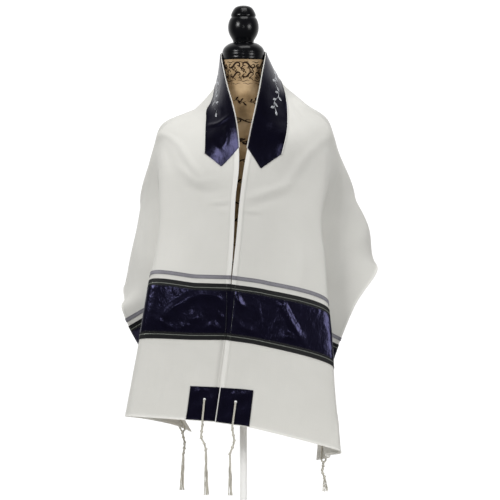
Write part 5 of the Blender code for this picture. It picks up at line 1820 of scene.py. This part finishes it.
@dataclass
class DressForm:
    """The padded form in printed linen, its lacquered neck cap and finial, and the stand."""
    sides: int = 72
    levels: int = 120
    inset: float = 0.0006         # how far the cover lies inside the girths
    boldness: float = 1.55        # thickness of the printed lines, in their rows' weights
    curl: float = 5.2             # radians that a scroll turns through from its middle to an end
    ink_lift: float = 0.00035
    print_pitch: float = 1.28     # from one ornament to the next, in sizes of one

    def spot(self, angle: np.ndarray, height: np.ndarray, lift: float = 0.0) -> np.ndarray:
        """Find a place on the cover.

        Args:
            angle: The direction round the upright axis, 0 at +X.
            height: The height above the floor.
            lift: The distance out from the cover.

        Returns:
            The points in the shared frame.
        """
        table = np.array(FORM_GIRTHS)[::-1]
        width, front, back = (self._eased(height, table[:, 0], table[:, column]) for column in (1, 2, 3))
        depth = np.where(np.sin(angle) > 0, back, front)
        out = lift - self.inset
        return np.stack([(width + out) * np.cos(angle), (depth + out) * np.sin(angle),
                         np.broadcast_to(height, np.shape(angle))], axis=-1)

    @staticmethod
    def _eased(height: np.ndarray, heights: np.ndarray, values: np.ndarray) -> np.ndarray:
        """Read a table on a smooth curve through its rows.

        Args:
            height: Where to read it.
            heights: The rows' heights, rising.
            values: Their values.

        Returns:
            The values there.
        """
        slopes = np.gradient(values, heights)
        row = np.clip(np.searchsorted(heights, height) - 1, 0, len(heights) - 2)
        span = heights[row + 1] - heights[row]
        t = (height - heights[row]) / span
        return between(t, values[row], values[row + 1], span * slopes[row], span * slopes[row + 1])

    def build_cover(self) -> Mesh:
        """Loft the cover through its girths and close both ends."""
        heights = np.linspace(FORM_GIRTHS[-1].height, FORM_GIRTHS[0].height, self.levels)
        angles = np.arange(self.sides) * 2.0 * math.pi / self.sides
        height, angle = np.meshgrid(heights, angles, indexing="ij")
        cover = Bundle()
        cover.add_rings(self.spot(angle, height))
        return cover.mesh("form_cover")

    def stroke(self, ink: Bundle, path: np.ndarray, weight: float, centre: float, height: float) -> None:
        """Print one line on the cover.

        Args:
            ink: The bundle that it joins.
            path: The line's points, sideways and up, in metres.
            weight: Its width at the middle.
            centre: The angle that sideways is measured from.
            height: The height that up is measured from.
        """
        way = unit(np.gradient(path, axis=0))
        side = np.stack([-way[:, 1], way[:, 0]], axis=1)
        fullness = 0.35 + 0.65 * np.sin(np.linspace(0.0, math.pi, len(path)))
        swell = weight * self.boldness / 2 * fullness[:, None]
        lowest, highest = FORM_GIRTHS[-1].height + 0.001, FORM_GIRTHS[0].height - 0.0005
        rows = []
        for edge in (-1.0, 1.0):
            flat = path + side * swell * edge
            level = np.clip(height + flat[:, 1], lowest, highest)
            reach = np.linalg.norm(self.spot(np.full(len(path), centre), level)[:, :2], axis=1)
            rows.append(self.spot(centre + flat[:, 0] / reach, level, self.ink_lift))
        ink.add_grid(np.stack(rows, axis=0))

    def flourish(self, ink: Bundle, row: PrintRow, centre: float, flip: float) -> None:
        """Print one ornament of a row.

        Args:
            ink: The bundle that it joins.
            row: The row that it belongs to.
            centre: The angle of its middle, round the upright axis.
            flip: 1, or -1 for one that is upside down.
        """
        t = np.linspace(0.0, 1.0, 34)
        size, weight = row.size * MM, row.weight * MM
        if row.kind is Flourish.SCROLL:
            along = np.linspace(-1.0, 1.0, 64)
            turn = self.curl * along**2 - 0.9
            path = np.cumsum(np.stack([np.cos(turn), np.sin(turn)], axis=1), axis=0)
            path = (path - path.mean(axis=0)) * size / np.ptp(path[:, 0])
            self.stroke(ink, path * (1.0, flip), weight, centre, row.height)
        elif row.kind is Flourish.SPRIG:
            stem = np.stack([size * (t - 0.5), flip * 0.10 * size * np.sin(2.0 * math.pi * t)], axis=1)
            self.stroke(ink, stem, weight * 0.8, centre, row.height)
            for share in (0.2, 0.4, 0.6, 0.8):
                root = stem[int(share * 33)]
                up = 1.0 if share in (0.2, 0.6) else -1.0
                rise = up * 0.26 * size * np.sin(0.5 * math.pi * t)
                leaf = root + np.stack([0.22 * size * t, rise], axis=1)
                self.stroke(ink, leaf, weight * 1.6, centre, row.height)
        else:
            path = np.stack([size * (t - 0.5), 0.05 * size * np.sin(3.0 * math.pi * t)], axis=1)
            self.stroke(ink, path, weight, centre, row.height)

    def build_print(self) -> Mesh:
        """Print every row all round the cover."""
        ink = Bundle()
        for index, row in enumerate(PRINT_ROWS):
            reach = float(np.linalg.norm(self.spot(np.array(0.0), np.array(row.height))[:2]))
            count = max(6, round(2.0 * math.pi * reach / (row.size * MM * self.print_pitch)))
            for step in range(count):
                centre = 2.0 * math.pi * (step + 0.37 * (index % 3)) / count - math.pi / 2
                self.flourish(ink, row, centre, 1.0 if (step + index) % 2 else -1.0)
        return ink.mesh("form_print", 80.0)

    @staticmethod
    def turned(outline: Sequence[tuple], steps: int = 72, per: int = 5) -> Mesh:
        """Turn an outline about the upright axis.

        Args:
            outline: Points of radius and height, from the top down; each stretch is smoothed.
            steps: How many faces go round.
            per: How many points each stretch gets.

        Returns:
            The mesh, closed by flat ends.
        """
        path = curve_through(outline, len(outline) * per)
        lathe = Bundle()
        lathe.add_rings(level_rings(path[::-1], steps))
        return lathe.mesh("turned", 40.0)

    def dress(self, linen: Material, ink: Material, black: Material, white: Material) -> None:
        """Put the form and its stand in the scene.

        Args:
            linen: The cover's finish.
            ink: The print's.
            black: The cap's and finial's.
            white: The stand's.
        """
        piece("form_cover", self.build_cover(), linen, ["form_torso"])
        piece("form_print", self.build_print(), ink)
        piece("neck_cap", self.turned(NECK_CAP_OUTLINE), black, ["form_neck_cap"])
        piece("finial", self.turned(FINIAL_OUTLINE), black, ["form_finial"])
        piece("pole", self.turned(POLE_OUTLINE, 48), white, ["stand_pole"])
        piece("base", self.turned(BASE_OUTLINE, 128), white, ["stand_base"])


class Lamp(NamedTuple):
    """One soft lamp of the studio."""
    name: str
    place: tuple
    size: tuple
    power: float


LAMPS = (
    Lamp("key", (-3.0, -3.2, 2.5), (1.4, 1.4), 124.0),
    Lamp("fill", (3.3, -3.2, 1.5), (1.6, 1.6), 82.0),
    Lamp("top", (0.2, -0.6, 3.4), (1.6, 1.2), 30.0),
    Lamp("glint", (0.0, -5.6, 1.55), (0.35, 0.35), 12.0),
)


@dataclass
class Studio:
    """A pale floor, soft light and the camera."""
    distance: float = 9.0
    view_width: float = 1.2
    centre: tuple = (0.016, 0.0, 0.6528)
    sensor: float = 36.0
    measured_depth: float = -0.09     # the plane in which the sizes were read
    lamps_aim: float = 0.75           # the height that the lamps point at
    front_glow: float = 0.13          # strength of the surroundings before the object
    rear_glow: float = 1.12           # and behind it

    def build(self) -> None:
        """Set up the studio."""
        self._camera()
        self._floor()
        for lamp in LAMPS:
            self._light(lamp)
        self._sky()
        bpy.context.scene.view_settings.view_transform = "Standard"

    def _camera(self) -> None:
        """Look level at the front."""
        data = bpy.data.cameras.new("camera")
        data.sensor_width = self.sensor
        data.lens = self.sensor * (self.distance + self.measured_depth) / self.view_width
        data.clip_end = 60.0
        camera = bpy.data.objects.new("camera", data)
        camera.location = (self.centre[0], -self.distance, self.centre[2])
        camera.rotation_euler = (math.pi / 2, 0.0, 0.0)
        bpy.context.scene.collection.objects.link(camera)
        bpy.context.scene.camera = camera

    def _floor(self) -> None:
        """Lay a small round floor under the stand."""
        disc = Bundle()
        disc.add_rings(level_rings(FLOOR_OUTLINE, 96))
        mesh = disc.mesh("floor", 30.0)
        mesh.materials.append(FloorPaint().make())
        floor = bpy.data.objects.new("floor", mesh)
        bpy.context.scene.collection.objects.link(floor)

    def _light(self, lamp: Lamp) -> None:
        """Hang one soft lamp, aimed at the shawl.

        Args:
            lamp: Its place, size and power.
        """
        data = bpy.data.lights.new(lamp.name, "AREA")
        data.shape = "RECTANGLE"
        data.size, data.size_y = lamp.size
        data.energy = lamp.power
        hung = bpy.data.objects.new(lamp.name, data)
        hung.location = lamp.place
        aim = Vector((self.centre[0], 0.0, self.lamps_aim)) - Vector(lamp.place)
        hung.rotation_euler = aim.to_track_quat("-Z", "Y").to_euler()
        bpy.context.scene.collection.objects.link(hung)

    def _sky(self) -> None:
        """Surround the object with pale light, brightest behind it and dim in front."""
        world = bpy.data.worlds.new("studio")
        world.use_nodes = True
        tree = world.node_tree
        tree.nodes.clear()
        way = add_node(tree, "ShaderNodeTexCoord").outputs["Generated"]
        parts = add_node(tree, "ShaderNodeSeparateXYZ", {0: way})
        range_ends = {"Value": parts.outputs[1], "From Min": -0.2, "From Max": 0.85,
                      "To Min": self.front_glow, "To Max": self.rear_glow}
        behind = add_node(tree, "ShaderNodeMapRange", range_ends, interpolation_type="SMOOTHSTEP")
        light = {"Color": (1.0, 1.0, 1.0, 1.0), "Strength": behind.outputs[0]}
        glow = add_node(tree, "ShaderNodeBackground", light)
        add_node(tree, "ShaderNodeOutputWorld", {"Surface": glow.outputs[0]})
        bpy.context.scene.world = world


def main() -> None:
    """Build and dress the shawl, the form and the studio."""
    logging.basicConfig(level=logging.INFO, format="%(name)s: %(message)s")
    surface = ShawlSurface()
    white = WovenWhite().make()
    # The lighter colours given to the satins, ribbons, threads and cords are painted sheen and glints; the
    # darker ones of the threads and cords are painted shade.
    satin = NavySatin().make()
    neck_satin = NavySatin("neck_satin", "050409", "0B0A16", 0.5, 0.24).make()
    grey = Grosgrain("grey_ribbon", "5C5B61", "9C9BA2").make()
    black = Grosgrain("black_ribbon", "050607", "0F1012").make()
    silver_green = MetalThread("silver_green_thread", "9EA29B", "5E635C").make()
    silver = MetalThread("silver_thread", "D4D6DA", "8E9196").make()
    white_thread = CottonCord("white_sewing_thread", "F4F3EF", "DCDAD3").make()
    dark_thread = CottonCord("navy_sewing_thread", "24222F", "101018").make()
    cord = CottonCord("white_piping_cord", "EDECE8", "D3D2CC").make()
    wool = CottonCord("tassel_wool", "E2DFD5", "ACA89B").make()

    cloth = ShawlCloth(surface)
    cloth.dress(white)
    cloth.sew(white_thread)
    bands = EndBands(surface)
    bands.dress(grey, black, satin)
    bands.weave_lines(silver_green)
    bands.sew(dark_thread, silver_green)
    neck = NeckBand(surface)
    neck.dress(neck_satin, cord)
    neck.embroider(silver)
    neck.sew(dark_thread)
    patches = CornerPatches(surface)
    patches.dress(satin)
    patches.sew(dark_thread)
    for corner in CORNERS:
        Tassel(surface, corner).dress(wool)
    DressForm().dress(AgedLinen().make(), Ink().make(), BlackLacquer().make(), WhiteEnamel().make())
    Studio().build()


if __name__ == "__main__":
    main()
